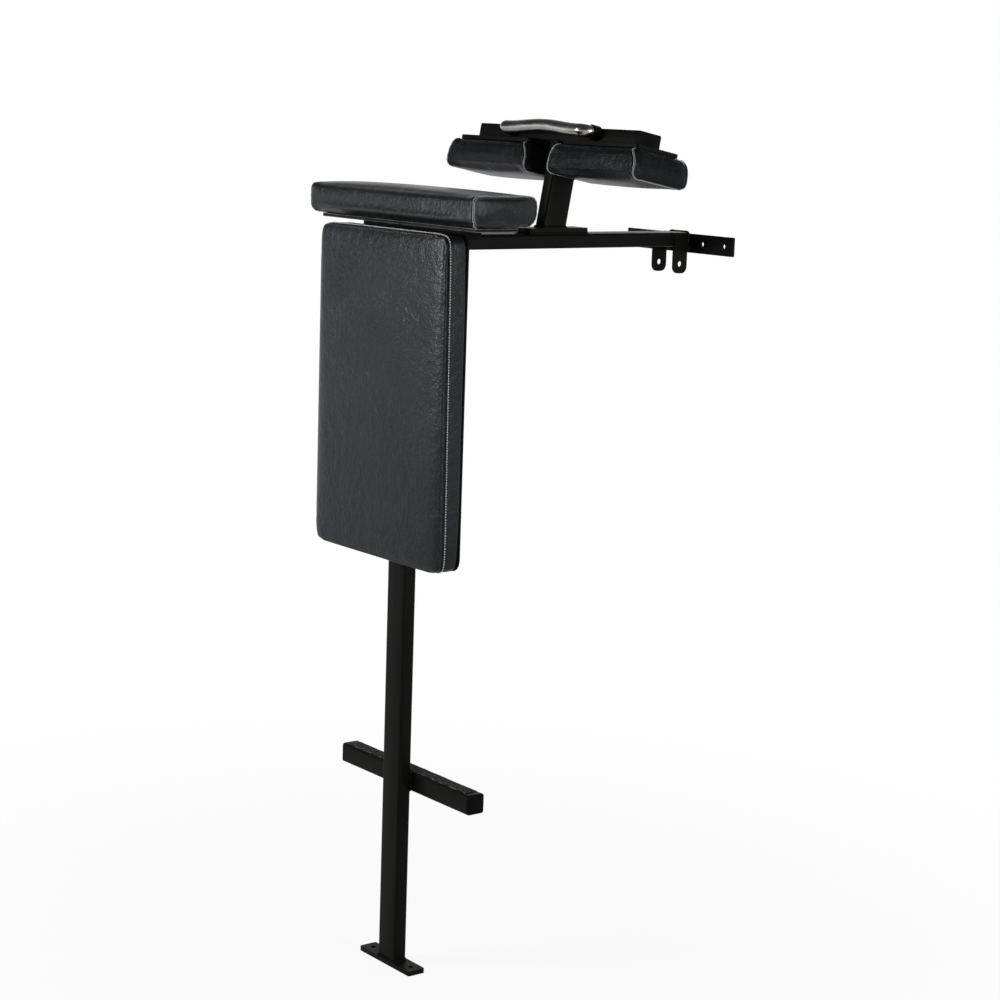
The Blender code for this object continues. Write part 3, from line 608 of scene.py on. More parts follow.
MATERIAL_MAKERS = {
    "cover_leatherette": cover_material,
    "hold_down_leatherette_painted_shade": shaded_hold_down_material,
    "welt_painted_highlight": welt_highlight_material,
    "sewing_thread": thread_material,
    "black_powder_coat": coat_material,
    "polished_steel": polish_material,
    "painted_plywood": board_material,
    "painted_edge_highlight": edge_highlight_material,
    "moulded_plastic": plastic_material,
    "grip_grit": grit_material,
    "dark_zinc": zinc_material,
}


def finish(name):
    """The material of this name, made where it isn't there yet."""
    return bpy.data.materials.get(name) or MATERIAL_MAKERS[name](name)


# Frame

SIDES = ("left", "right")
ENDS = ("lower", "upper")
EARS = [f"rig_ear_{side}" for side in SIDES]
COATED = ["post_tube", "arm_tube", "foot_plate", "step_tube", "rig_plate", "riser_base_plate",
          "riser_tube", "cross_member", "knee_bracket", *EARS]
PLASTIC = [f"{part}_{side}" for side in SIDES
           for part in ("step_cap", "cross_cap", "knee_bracket_cap", "handle_collar")]
BOARDS = ["knee_board", "back_board", *(f"hold_down_board_{side}" for side in SIDES)]
SCREWS = [f"{board}_screw_{number}" for board in ("hold_down", "knee") for number in range(1, 5)]
WASHERS = [f"back_pad_washer_{end}" for end in ENDS]


def joined_faces_group():
    """Joins a CAD node's loose triangles and shades its round places smooth."""
    name = "joined_faces"
    found = bpy.data.node_groups.get(name)
    if found:
        return found
    tree = bpy.data.node_groups.new(name, "GeometryNodeTree")
    for way in ("INPUT", "OUTPUT"):
        tree.interface.new_socket("Geometry", in_out=way, socket_type="NodeSocketGeometry")
    start = tree.nodes.new("NodeGroupInput").outputs[0]
    merge = put(tree, "GeometryNodeMergeByDistance", {"Geometry": start, "Distance": MERGE})
    bare = put(tree, "GeometryNodeRemoveAttribute", {"Geometry": merge.outputs[0],
                                                     "Name": "custom_normal"})
    faces = put(tree, "GeometryNodeSetShadeSmooth", {"Geometry": bare.outputs[0]})
    angle = put(tree, "GeometryNodeInputMeshEdgeAngle").outputs["Unsigned Angle"]
    gentle = put(tree, "FunctionNodeCompare", {0: angle, 1: SMOOTH_BELOW},
                 operation="LESS_THAN", data_type="FLOAT").outputs[0]
    edges = put(tree, "GeometryNodeSetShadeSmooth",
                {"Geometry": faces.outputs[0], "Shade Smooth": gentle}, domain="EDGE")
    end = tree.nodes.new("NodeGroupOutput")
    tree.links.new(edges.outputs[0], end.inputs[0])
    return tree


def finish_nodes(names, material):
    for name in names:
        obj = CAD_NODES[name]
        obj.material_slots[0].material = material
        joined = obj.modifiers.new("joined_faces", "NODES")
        joined.node_group = joined_faces_group()


def board_highlight_strips(node, corner, radius):
    """Thin tubes along a board's rounded upper and lower edges, following its outline, which
    carry the painted edge highlight.
    """
    low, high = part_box(node)
    middle = (low + high) / 2
    half = (high - low) / 2
    inset = 0.55 * radius
    outline = rounded_ring(half.x - inset, half.y - inset, corner - inset)
    routes = [[(Vector((middle.x + place.x, middle.y + place.y, z)), radius)
               for place in outline] for z in (low.z + radius, high.z - radius)]
    return tubes(node + "_arrises", routes, True, 3)


def rounded_ring(half_x, half_y, corner, steps=5):
    """A rectangle's outline about the origin in the XY plane, its corners arcs."""
    points = []
    for quarter in range(4):
        side_x = 1 if quarter in (0, 3) else -1
        side_y = 1 if quarter in (0, 1) else -1
        for step in range(steps + 1):
            angle = pi / 2 * (quarter + step / steps)
            points.append(Vector((side_x * (half_x - corner) + corner * cos(angle),
                                  side_y * (half_y - corner) + corner * sin(angle), 0)))
    return points


def bead(route, radius, closed, rng):
    """A weld bead along a route: overlapping ripples, none quite like the next."""
    run = []
    for step, (place, _) in enumerate(resampled(route, 0.42 * radius, closed)):
        ripple = 0.90 + 0.10 * abs(sin(pi * step / 4)) + rng.uniform(-0.03, 0.03)
        wander = Vector([noise.noise(90 * place + 50 * axis) for axis in (X, Y, Z)])
        run.append((place + wander * 0.18 * radius, radius * ripple))
    return run


def weld_routes(radius):
    """Where the frame is welded: a name, a radius, and routes that are closed or open."""
    post_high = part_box("post_tube")[1]
    arm_low, arm_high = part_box("arm_tube")
    step_low, step_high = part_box("step_tube")
    base_low, base_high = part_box("riser_base_plate")
    bracket_low, bracket_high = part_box("knee_bracket")
    foot_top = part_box("foot_plate")[1].z
    half_x, half_y = post_high.x, post_high.y
    tube_corner, plate_corner = 6 * MM, 3 * MM
    riser_front, riser_depth, riser_half, joint_gap = 317.2 * MM, 60 * MM, 15 * MM, 0.3 * MM
    upright = Matrix.Rotation(pi / 2, 4, "X")
    mitre_turn = Matrix.Rotation(-pi / 4, 4, "X")

    def ring(matrix, across, along, corner=tube_corner):
        return [matrix @ point for point in rounded_ring(across, along, corner)]

    def at(y, z):
        return Matrix.Translation((0, y, z))

    def line(start, end):
        return [Vector(start), Vector(end)]

    riser_run = riser_depth / cos(HEAD_LEAN)
    foot = ring(at(0, foot_top), half_x, half_y)
    step = ring(at(half_y, (step_low.z + step_high.z) / 2) @ upright, half_x - 2 * MM,
                (step_high.z - step_low.z) / 2 - 1.5 * MM, plate_corner)
    mitre = ring(at(0, arm_high.z - half_y) @ mitre_turn, half_x, half_y * 2 ** 0.5)
    rig = ring(at(arm_high.y, (arm_low.z + arm_high.z) / 2) @ upright, half_x, half_y)
    base = ring(at((base_low.y + base_high.y) / 2, base_low.z), base_high.x,
                (base_high.y - base_low.y) / 2, plate_corner)
    riser_foot = ring(at(riser_front + riser_run / 2, base_high.z), riser_half, riser_run / 2)
    riser_top = ring(HEAD @ at(riser_depth / 2, -joint_gap), riser_half, riser_depth / 2)
    reach = half_x - 3 * MM
    brackets = [line((-reach, y, bracket_low.z), (reach, y, bracket_low.z))
                for y in (bracket_low.y, bracket_high.y)]
    ears = []
    for name in EARS:
        low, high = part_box(name)
        side = 1 if low.x > 0 else -1
        for y in (low.y, high.y):
            ears.append(line((side * half_x, y, arm_low.z + 4 * MM),
                             (side * half_x, y, high.z - 2 * MM)))
        under = side * (half_x - 1 * MM)
        ears.append(line((under, low.y + 3 * MM, arm_low.z), (under, high.y - 3 * MM, arm_low.z)))
    return (
        ("weld_foot", 1.1 * radius, [foot], True),
        ("weld_step", 0.95 * radius, [step], True),
        ("weld_mitre", 0.75 * radius, [mitre], True),
        ("weld_rig_plate", 1.0 * radius, [rig], True),
        ("weld_base_plate", 0.8 * radius, [base], True),
        ("weld_riser_foot", 1.3 * radius, [riser_foot], True),
        ("weld_riser_top", 0.9 * radius, [riser_top], True),
        ("weld_knee_bracket", 0.9 * radius, brackets, False),
        ("weld_ears", 0.7 * radius, ears, False),
    )


# Cushions

VOXEL = 5 * MM
SIM_FRAMES = 20

# The edges of the end-seamed cushions in the frame: how high above the board the edges of the
# face are, the radius they are rolled with, and the height at which the sides have swelled out.
FACE_EDGE = 61 * MM
FRAME_ROLL = 18 * MM
FRAME_FULL = 33.5 * MM

# The back pad's corners and edges in the frame, and the tighter fold of its cover.
PAD_CORNER = 24 * MM
PAD_ROLL = 9 * MM
PAD_FOLD = 2.6 * MM

# How the two kinds of end-seamed cushions are cut and filled, along their sections. over is how
# far the board side stands past the board's X ends, rise the height at which the ends have
# swelled out fully, and plump how much further they then stand out. centre and half_depth place
# the board side, swells is how far the front and back stand out past it, and fuller the height
# at which they do. front, back and top are the limits of an end panel, and corners says how far
# its roundings reach across and up, from the front of the board round to its back.
KNEE_PATTERN = SimpleNamespace(
    over=0.0, rise=9 * MM, plump=9 * MM,
    centre=13.5 * MM, half_depth=48.5 * MM, swells=(23 * MM, 35 * MM), fuller=17 * MM,
    front=-55 * MM, back=95 * MM, top=60.5 * MM,
    corners=((18 * MM, 18 * MM), (11 * MM, 11 * MM), (17 * MM, 17 * MM), (27 * MM, 30 * MM)))
HOLD_DOWN_PATTERN = SimpleNamespace(
    over=4 * MM, rise=33.5 * MM, plump=2 * MM,
    centre=31 * MM, half_depth=59 * MM, swells=(11 * MM, 16 * MM), fuller=15 * MM,
    front=-37.5 * MM, back=104 * MM, top=60.5 * MM,
    corners=((9 * MM, 11 * MM), (14 * MM, 13 * MM), (17 * MM, 17 * MM), (12 * MM, 13 * MM)))


class CushionShape:
    """Where a cushion's board side lies, and how its X ends swell out past the board.

    Its sections are measured in heights along facing, from the board, and in offsets along side,
    which points back for an end-seamed cushion and up for the back pad. End seams are laid out
    with the ends made straight, and are then bent back with them.
    """

    def __init__(self, seat, facing, side, middle=0.0, reach=1.0, swell=0.0, rise=1.0):
        self.seat = seat
        self.facing = facing
        self.side = side
        self.middle = middle
        self.reach = reach
        self.swell = swell
        self.rise = rise

    def height(self, place):
        return (place - self.seat).dot(self.facing)

    def offset(self, place):
        return (place - self.seat).dot(self.side)

    def stretch(self, place):
        share = min(1, max(0, self.height(place) / self.rise))
        return 1 + sin(pi / 2 * share) * self.swell / self.reach

    def straight(self, place):
        x = self.middle + (place.x - self.middle) / self.stretch(place)
        return Vector((x, place.y, place.z))

    def bent(self, place):
        x = self.middle + (place.x - self.middle) * self.stretch(place)
        return Vector((x, place.y, place.z))

    def plumped(self, more):
        """The same shape with ends that swell out further."""
        return CushionShape(self.seat, self.facing, self.side, self.middle, self.reach,
                            self.swell + more, self.rise)


def eased(obj, shape, rounds):
    """Smooth a cushion's cover, but not where it lies on its board."""
    near_board = 4 * MM
    with opened(obj) as bm:
        free = [vertex for vertex in bm.verts if shape.height(vertex.co) > near_board]
        for _ in range(rounds):
            bmesh.ops.smooth_vert(bm, verts=free, factor=0.5, use_axis_x=True, use_axis_y=True,
                                  use_axis_z=True)


def soft_body(node, name, shape, shrink, rounds):
    """An even mesh on a CAD cushion's surface, drawn in a little so that it can swell back."""
    bm = merged_copy(node)
    bmesh.ops.recalc_face_normals(bm, faces=bm.faces)
    solid = BVHTree.FromBMesh(bm)
    obj = placed(name, bm)
    remesh = obj.modifiers.new("even", "REMESH")
    remesh.mode = "VOXEL"
    remesh.voxel_size = VOXEL
    applied(obj)
    for vertex in obj.data.vertices:
        spot, out, _, _ = solid.find_nearest(vertex.co)
        share = min(1, max(0, shape.height(spot) / (2 * VOXEL)))
        vertex.co = spot - out * shrink * share
    eased(obj, shape, rounds)
    return obj


def swollen(obj, shape, cover, most):
    """Let foam pressure push the cover out, by no more than the given distance."""
    rest = [vertex.co.copy() for vertex in obj.data.vertices]
    pinned = [vertex.index for vertex in obj.data.vertices if shape.height(vertex.co) < 0.5 * MM]
    pins = obj.vertex_groups.new(name="pinned")
    pins.add(pinned, 1.0, "REPLACE")
    cloth = obj.modifiers.new("cover", "CLOTH")
    cloth.settings.quality = 6
    cloth.settings.mass = 0.4
    cloth.settings.tension_stiffness = 25
    cloth.settings.compression_stiffness = 25
    cloth.settings.shear_stiffness = 12
    cloth.settings.bending_stiffness = 12
    cloth.settings.use_pressure = True
    cloth.settings.uniform_pressure_force = cover.pressure
    cloth.settings.vertex_group_mass = pins.name
    cloth.settings.effector_weights.gravity = 0
    cloth.collision_settings.use_collision = False
    cloth.point_cache.frame_start = 1
    cloth.point_cache.frame_end = SIM_FRAMES
    scene = bpy.context.scene
    for step in range(1, SIM_FRAMES + 1):
        scene.frame_set(step)
    applied(obj)
    scene.frame_set(1)
    for vertex, start in zip(obj.data.vertices, rest):
        move = vertex.co - start
        if move.length > most:
            vertex.co = start + move.normalized() * most
    obj.vertex_groups.clear()
    eased(obj, shape, 1)


def cut(bm, place, normal, dist=0.3 * MM, **clear):
    """Cut a whole mesh along a plane. Vertices within dist of it are used as they are."""
    everything = bm.verts[:] + bm.edges[:] + bm.faces[:]
    bmesh.ops.bisect_plane(bm, geom=everything, dist=dist, plane_co=place, plane_no=normal,
                           **clear)


def cut_across(bm, shape, planes, normal, dist, **clear):
    """Make a cushion's ends straight and cut it along planes across them."""
    for vertex in bm.verts:
        vertex.co = shape.straight(vertex.co)
    for plane in planes:
        cut(bm, plane, normal, dist, **clear)


def drawn_in(obj, shape, planes, normal, depth, half_width):
    """Cut loops beside each seam plane and draw the cover in along them."""
    near_board = 1 * MM
    with opened(obj) as bm:
        cuts = [plane + normal * share * half_width for plane in planes
                for share in (-1.0, -0.45, 0.0, 0.45, 1.0)]
        cut_across(bm, shape, cuts, normal, 0.35 * MM)
        depths = []
        for vertex in bm.verts:
            off = min(abs((vertex.co - plane).dot(normal)) for plane in planes)
            share = max(0, 1 - off / half_width) * (shape.height(vertex.co) > near_board)
            depths.append(depth * share ** 1.4)
            vertex.co = shape.bent(vertex.co)
        bm.normal_update()
        moves = [vertex.normal * down for vertex, down in zip(bm.verts, depths)]
        for vertex, move in zip(bm.verts, moves):
            vertex.co -= move


def fold_factor(angle, roll, fold):
    """How much further from its centre a rolled corner lies once it is folded tighter."""
    inner = roll - fold
    ahead, aside = cos(angle), sin(angle)
    arc = (inner * (ahead + aside)) ** 2 - 2 * inner ** 2 + fold ** 2
    if arc > 0:
        reach = inner * (ahead + aside) + arc ** 0.5
        if min(ahead, aside) * reach > inner:
            return reach / roll
    return 1 / max(ahead, aside)


def face_folded(obj, shape, low, high, thickness):
    """Fold the back pad's cover tightly all round the edge of its face."""
    middle = (low + high) / 2
    half = (high - low) / 2
    axes = ((X, half.x), (Z, half.z))
    with opened(obj) as bm:
        for share in (0.1, 0.2, 0.29, 0.4, 0.56):
            inset = share * PAD_ROLL
            cut(bm, shape.seat + shape.facing * (thickness - inset), shape.facing)
            for side in (-1, 1):
                for axis, limit in axes:
                    cut(bm, middle + axis * side * (limit - inset), axis)
        for vertex in bm.verts:
            place = vertex.co - middle
            past = Vector((abs(place.x) - half.x + PAD_CORNER, 0,
                           abs(place.z) - half.z + PAD_CORNER))
            if past.x > 0 and past.z > 0:
                depth, way = PAD_CORNER - past.length, past.normalized()
            elif past.x > past.z:
                depth, way = PAD_CORNER - past.x, X
            else:
                depth, way = PAD_CORNER - past.z, Z
            way = Vector((way.x * (1 if place.x > 0 else -1), 0,
                          way.z * (1 if place.z > 0 else -1)))
            out = PAD_ROLL - depth
            up = shape.height(vertex.co) - (thickness - PAD_ROLL)
            if out > 0 and up > 0:
                more = fold_factor(atan2(up, out), PAD_ROLL, PAD_FOLD) - 1
                vertex.co += more * (out * way + up * shape.facing)


def filled_out(obj, shape, pattern):
    """Bring an end-seamed cushion's front and back to their full swell at less height."""
    for vertex in obj.data.vertices:
        off = shape.offset(vertex.co) - pattern.centre
        swell = pattern.swells[0] if off < 0 else pattern.swells[1]
        height = max(0, shape.height(vertex.co))
        before, after = [
            1 + sin(pi / 2 * min(1, height / full)) * swell / pattern.half_depth
            for full in (FRAME_FULL, pattern.fuller)]
        vertex.co += shape.side * off * (after / before - 1)


def side_folded(obj, shape, way, edge, fold, slope=None):
    """Fold a cushion's cover more tightly along one long edge of its face.

    way is -1 at the front and 1 at the back, edge the offset of that side and fold the new
    radius. slope is given where the face falls away behind the fold: its angle, and the height
    at which it starts.
    """
    side = way * shape.side
    base = FACE_EDGE - FRAME_ROLL
    centre = shape.seat + side * (way * edge - FRAME_ROLL) + shape.facing * base
    turn, start_height = slope or (pi / 2, FACE_EDGE)
    crest = atan2(start_height - base, FRAME_ROLL)
    near = cos(turn) * FRAME_ROLL + sin(turn) * (start_height - base)
    with opened(obj) as bm:
        for share in (-16, -8, -3, 3, 8, 16):
            angle = crest + radians(share)
            cut(bm, centre, cos(angle) * shape.facing - sin(angle) * side)
        for vertex in bm.verts:
            out = (vertex.co - centre).dot(side)
            up = (vertex.co - centre).dot(shape.facing)
            if up <= 0:
                continue
            if out > 0:
                angle = atan2(up, out)
                factor = fold_factor(angle, FRAME_ROLL, fold)
                if slope and abs(angle - turn) < 0.47 * pi:
                    falling = near / cos(angle - turn) / FRAME_ROLL
                    factor = (factor ** -30 + falling ** -30) ** (-1 / 30)
                vertex.co += (factor - 1) * (out * side + up * shape.facing)
            elif slope:
                limit = (near - cos(turn) * out) / sin(turn)
                if up > limit:
                    vertex.co -= (up - limit) * shape.facing


def section_route(obj, shape, plane, normal):
    """The line where a plane cuts a cushion: its points in order, and whether it closes.

    Points on the board side are left out, so a seam across a cushion ends at its board.
    """
    with opened(obj, keep=False) as bm:
        cut_across(bm, shape, [plane], normal, MERGE, clear_inner=True, clear_outer=True)
        for vertex in list(bm.verts):
            if shape.height(vertex.co) < 1 * MM:
                bm.verts.remove(vertex)
        bm.verts.ensure_lookup_table()
        ends = [vertex for vertex in bm.verts if len(vertex.link_edges) == 1]
        current = ends[0] if ends else bm.verts[0]
        route, seen = [shape.bent(current.co)], {current}
        while True:
            onward = [edge.other_vert(current) for edge in current.link_edges
                      if edge.other_vert(current) not in seen]
            if not onward:
                break
            current = onward[0]
            seen.add(current)
            route.append(shape.bent(current.co))
    return route, not ends


def panel_outline(pattern, steps=6):
    """An end panel's outline as offsets and heights, from the front of the board to its back."""
    points = []
    for number, (across, up) in enumerate(pattern.corners):
        at_front = number < 2
        at_board = number in (0, 3)
        for step in range(steps + 1):
            turn = pi / 2 * step / steps
            inward, onward = across * (1 - sin(turn)), up * (1 - cos(turn))
            if number in (1, 3):
                inward, onward = across * (1 - cos(turn)), up * (1 - sin(turn))
            points.append((pattern.front + inward if at_front else pattern.back - inward,
                           onward if at_board else pattern.top - onward))
    return points


def around(points, centre):
    """Points as pairs of angle, from straight down to the board, and distance."""
    pairs = []
    for offset, height in points:
        x, y = offset - centre[0], height - centre[1]
        pairs.append(((atan2(y, x) + pi / 2) % (2 * pi), (x * x + y * y) ** 0.5))
    return sorted(pairs)


def distance_at(pairs, angle):
    """The distance at an angle, on the straight line between the two nearest pairs."""
    if angle <= pairs[0][0]:
        return pairs[0][1]
    for (low, near), (high, far) in zip(pairs, pairs[1:]):
        if angle <= high:
            across = near * sin(angle - low) + far * sin(high - angle)
            return near * far * sin(high - low) / across if across > 1e-9 else far
    return pairs[-1][1]


def ends_outlined(obj, shape, seam_reach, pattern):
    """Bring the sections at both ends of a cushion to the outline of its end panels.

    They are measured a little inward of the end seams, where the cover is at full height, and
    the change fades out along the cushion and towards its board.
    """
    fade, inward, board_fade = 28 * MM, 3.5 * MM, 6 * MM
    least, most = 0.85, 1.2
    centre = ((pattern.front + pattern.back) / 2, pattern.top / 2)
    wanted = around(panel_outline(pattern), centre)
    found = {}
    for end in (-1, 1):
        plane = Vector((shape.middle + end * (seam_reach - inward), 0, 0))
        route, _ = section_route(obj, shape, plane, X)
        found[end] = around([(shape.offset(place), shape.height(place)) for place in route],
                            centre)
    for vertex in obj.data.vertices:
        x = shape.straight(vertex.co).x - shape.middle
        share = min(1, max(0, 1 - (seam_reach - abs(x)) / fade))
        height = shape.height(vertex.co)
        if share == 0 or height <= 0:
            continue
        offset = shape.offset(vertex.co) - centre[0]
        up = height - centre[1]
        angle = (atan2(up, offset) + pi / 2) % (2 * pi)
        factor = distance_at(wanted, angle) / distance_at(found[1 if x > 0 else -1], angle)
        factor = min(most, max(least, factor))
        more = (factor - 1) * share * share * (3 - 2 * share) * min(1, height / board_fade)
        vertex.co += more * (offset * shape.side + up * shape.facing)


def surface_of(obj):
    with opened(obj, keep=False) as bm:
        return BVHTree.FromBMesh(bm)


def stitched(name, routes, surface, cover, pitch):
    """Rows of stitches that lie on a cushion along the given routes."""
    half = cover.stitch_length / 2 * pitch / cover.stitch_pitch
    radius = cover.thread / 2 * pitch / cover.stitch_pitch
    threads = []
    for route, closed in routes:
        for place, along in resampled(route, pitch, closed):
            spot, out, _, _ = surface.find_nearest(place)
            thread = []
            for share in (-1, -0.7, 0, 0.7, 1):
                lift = radius * (0.7 - 1.1 * share ** 4)
                thread.append((spot + along * half * share + out * lift,
                               radius * (1 - 0.45 * share ** 4)))
            threads.append(thread)
    bm = tubes(name, threads, False, 1)
    return piece(name, bm, finish("sewing_thread"), ROUND_BELOW)


def welted(name, routes, surface, cover):
    """Raised edges along the given routes, sunk a little into the cushion."""
    highlight_patches = []
    for route, closed in routes:
        run = []
        for place, _ in resampled(route, 3 * MM, closed):
            spot, out, _, _ = surface.find_nearest(place)
            run.append((spot + out * 0.15 * cover.welt, cover.welt / 2))
        highlight_patches.append(run)
    bm = tubes(name, highlight_patches, False, 3)
    return piece(name, bm, finish("welt_painted_highlight"), ROUND_BELOW)


def cushion(node, name, shape, cover, most, rounds):
    """The padded body that stands for a CAD cushion."""
    obj = soft_body(node, name, shape, 0.55 * most, rounds)
    swollen(obj, shape, cover, most)
    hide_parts(node)
    return obj


def covered(obj, material):
    """Dress a finished cushion body, with one level of subdivision."""
    soft = obj.modifiers.new("soft", "SUBSURF")
    soft.levels = 1
    soft.render_levels = 1
    dressed(obj, material, radians(60))
    return obj


def end_seamed(node, board, name, lie, pattern, folds, material, cover):
    """A cushion with a flat panel sewn into each X end, with its welts and stitches.

    lie is its board side's place, the way it faces and the way back, as in CushionShape, and
    each of the folds holds what side_folded takes after the shape.
    """
    low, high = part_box(node)
    board_low, board_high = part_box(board)
    reach = (board_high.x - board_low.x) / 2 + pattern.over
    middle = (low.x + high.x) / 2
    swell = (high.x - low.x) / 2 - reach
    shape = CushionShape(*lie, middle, reach, swell, pattern.rise)
    obj = cushion(node, name, shape, cover, cover.most_swell, 2)
    filled_out(obj, shape, pattern)
    for fold in folds:
        side_folded(obj, shape, *fold)
    seam_reach = reach - cover.end_inset
    ends_outlined(obj, shape, seam_reach, pattern)
    eased(obj, shape, 1)
    fuller = shape.plumped(pattern.plump)
    for vertex in obj.data.vertices:
        vertex.co = fuller.bent(shape.straight(vertex.co))

    # Inward of each end seam lie its welt, its row of stitches and a second, softer groove.
    welt_at = 0.75 * cover.welt
    row_at = 1.25 * cover.welt + cover.thread / 2
    groove_at = 1.25 * cover.welt + cover.thread + 1.6 * MM

    def seam_planes(inward):
        return [Vector((middle + side * (seam_reach - inward), 0, 0)) for side in (-1, 1)]

    welts = [section_route(obj, fuller, plane, X) for plane in seam_planes(welt_at)]
    rows = [section_route(obj, fuller, plane, X) for plane in seam_planes(row_at)]
    surface = surface_of(obj)
    welted(name + "_welt", welts, surface, cover)
    stitched(name + "_stitches", rows, surface, cover, 0.6 * cover.stitch_pitch)
    drawn_in(obj, fuller, seam_planes(-0.8 * MM), X, 1.6 * cover.groove, 1.5 * cover.groove)
    drawn_in(obj, fuller, seam_planes(groove_at), X, 1.0 * cover.groove, 1.4 * cover.groove)
    return covered(obj, material)


# Operators


class BENCH_OT_coated_frame(bpy.types.Operator):
    """Coat the welded frame's tubes and plates"""

    bl_idname = "bench.coated_frame"
    bl_label = "Coat the frame"

    def execute(self, context):
        finish_nodes(COATED, finish("black_powder_coat"))
        return {"FINISHED"}


class BENCH_OT_small_parts(bpy.types.Operator):
    """Finish the boards, plastic plugs, collars and hidden screws"""

    bl_idname = "bench.small_parts"
    bl_label = "Finish the small parts"

    def execute(self, context):
        finish_nodes(PLASTIC, finish("moulded_plastic"))
        finish_nodes(BOARDS, finish("painted_plywood"))
        finish_nodes(SCREWS + WASHERS, finish("dark_zinc"))
        corner, radius = 6 * MM, 0.9 * MM
        # Pale tubes along the knee board's edges carry a painted highlight for the light its
        # arrises catch.
        arrises = board_highlight_strips("knee_board", corner, radius)
        piece("knee_board_arrises", arrises, finish("painted_edge_highlight"), ROUND_BELOW)
        return {"FINISHED"}


class BENCH_OT_weld_beads(bpy.types.Operator):
    """Lay weld beads where tubes and plates meet"""

    bl_idname = "bench.weld_beads"
    bl_label = "Lay the weld beads"

    def execute(self, context):
        steel = context.scene.bench_steel
        rng = random.Random(steel.seed)
        for name, radius, routes, closed in weld_routes(steel.bead):
            beads = [bead(route, radius, closed, rng) for route in routes]
            bm = tubes(name, beads, closed, 3)
            piece(name, bm, finish("black_powder_coat"), ROUND_BELOW)
        return {"FINISHED"}


class BENCH_OT_back_screws(bpy.types.Operator):
    """Build the two button-head screws behind the post, with their hex sockets"""

    bl_idname = "bench.back_screws"
    bl_label = "Build the back screws"

    def execute(self, context):
        shank, tip, crown = 4 * MM, 0.6 * MM, 4.4 * MM
        socket, rim_width = 2.4 * MM, 0.25 * MM
        for node in [f"back_pad_screw_{end}" for end in ENDS]:
            low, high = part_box(node)
            centre = (low + high) / 2
            head = (high.x - low.x) / 2
            seat = high.y - crown
            profile = ((0, low.y), (shank - tip, low.y), (shank, low.y + tip),
                       (shank, seat), (head, seat), (head, seat + 0.25 * crown),
                       (0.93 * head, seat + 0.55 * crown), (0.78 * head, seat + 0.8 * crown),
                       (0.6 * head, high.y), (0.36 * head, high.y))
            bm = bmesh.new()
            points = [bm.verts.new((radius, y, 0)) for radius, y in profile]
            edges = [bm.edges.new(pair) for pair in zip(points, points[1:])]
            bmesh.ops.spin(bm, geom=points + edges, cent=(0, 0, 0), axis=Y, angle=2 * pi,
                           steps=36, use_merge=True)
            bmesh.ops.remove_doubles(bm, verts=bm.verts, dist=MERGE)
            rim = [edge for edge in bm.edges if edge.is_boundary]
            filled = bmesh.ops.contextual_create(bm, geom=rim)["faces"]
            for depth in (0.0, socket):
                bmesh.ops.inset_region(bm, faces=filled, thickness=rim_width, depth=-depth)
            bmesh.ops.translate(bm, verts=bm.verts, vec=(centre.x, 0, centre.z))
            screw = piece(node + "_detail", bm, finish("dark_zinc"))
            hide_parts(node)
        return {"FINISHED"}


class BENCH_OT_handle(bpy.types.Operator):
    """Bend the polished handle in front of the cross-member"""

    bl_idname = "bench.handle"
    bl_label = "Bend the handle"

    def execute(self, context):
        leg, standoff, bend = 131 * MM, 35 * MM, 15 * MM
        level, crown, seat, radius = 19 * MM, 6 * MM, 0.3 * MM, 12.5 * MM
        bend_steps, grip_steps = 14, 30
        half = [Vector((leg, -seat, level))]
        for step in range(bend_steps + 1):
            angle = pi / 2 * step / bend_steps
            half.append(Vector((leg - bend * (1 - cos(angle)),
                                -(standoff - bend) - bend * sin(angle), level)))
        straight = leg - bend
        for step in range(1, grip_steps + 1):
            x = straight * (1 - step / grip_steps)
            rise = crown * (1 + cos(pi * x / straight)) / 2
            half.append(Vector((x, -standoff, level + rise)))
        route = half + [Vector((-place.x, place.y, place.z)) for place in reversed(half[:-1])]
        bm = tubes("handle_bar", [[(HEAD @ place, radius) for place in route]], False, 10)
        bar = piece("handle_bar", bm, finish("polished_steel"), radians(60))
        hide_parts("handle")
        return {"FINISHED"}


class BENCH_OT_grip_strip(bpy.types.Operator):
    """Lay the rough grip strip on the step, its edges and face uneven"""

    bl_idname = "bench.grip_strip"
    bl_label = "Lay the grip strip"

    def execute(self, context):
        fray, relief = 1.2 * MM, 0.45 * MM
        low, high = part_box("step_grip_strip")
        centre = (low + high) / 2
        size = high - low
        bm = bmesh.new()
        bmesh.ops.create_grid(bm, x_segments=260, y_segments=20, size=0.5)
        bmesh.ops.scale(bm, vec=(size.x, size.y, 1), verts=bm.verts)
        sheet = bmesh.ops.extrude_face_region(bm, geom=bm.faces[:])
        top = [item for item in sheet["geom"] if isinstance(item, bmesh.types.BMVert)]
        bmesh.ops.translate(bm, verts=top, vec=(0, 0, size.z))
        raised = set(top)
        for vertex in bm.verts:
            place = Vector((vertex.co.x, vertex.co.y, 0))
            if abs(place.y) > 0.49 * size.y:
                inward = -1 if place.y > 0 else 1
                vertex.co.y += inward * (0.5 + noise.noise(place * 45)) * fray
            if vertex in raised:
                grit = 0.6 * noise.noise(place * 800) + 0.4 * noise.noise(place * 170)
                vertex.co.z += (grit - 0.75) * relief
        bmesh.ops.translate(bm, verts=bm.verts, vec=(centre.x, centre.y, low.z))
        strip = piece("grip_strip", bm, finish("grip_grit"), radians(50))
        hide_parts("step_grip_strip")
        return {"FINISHED"}


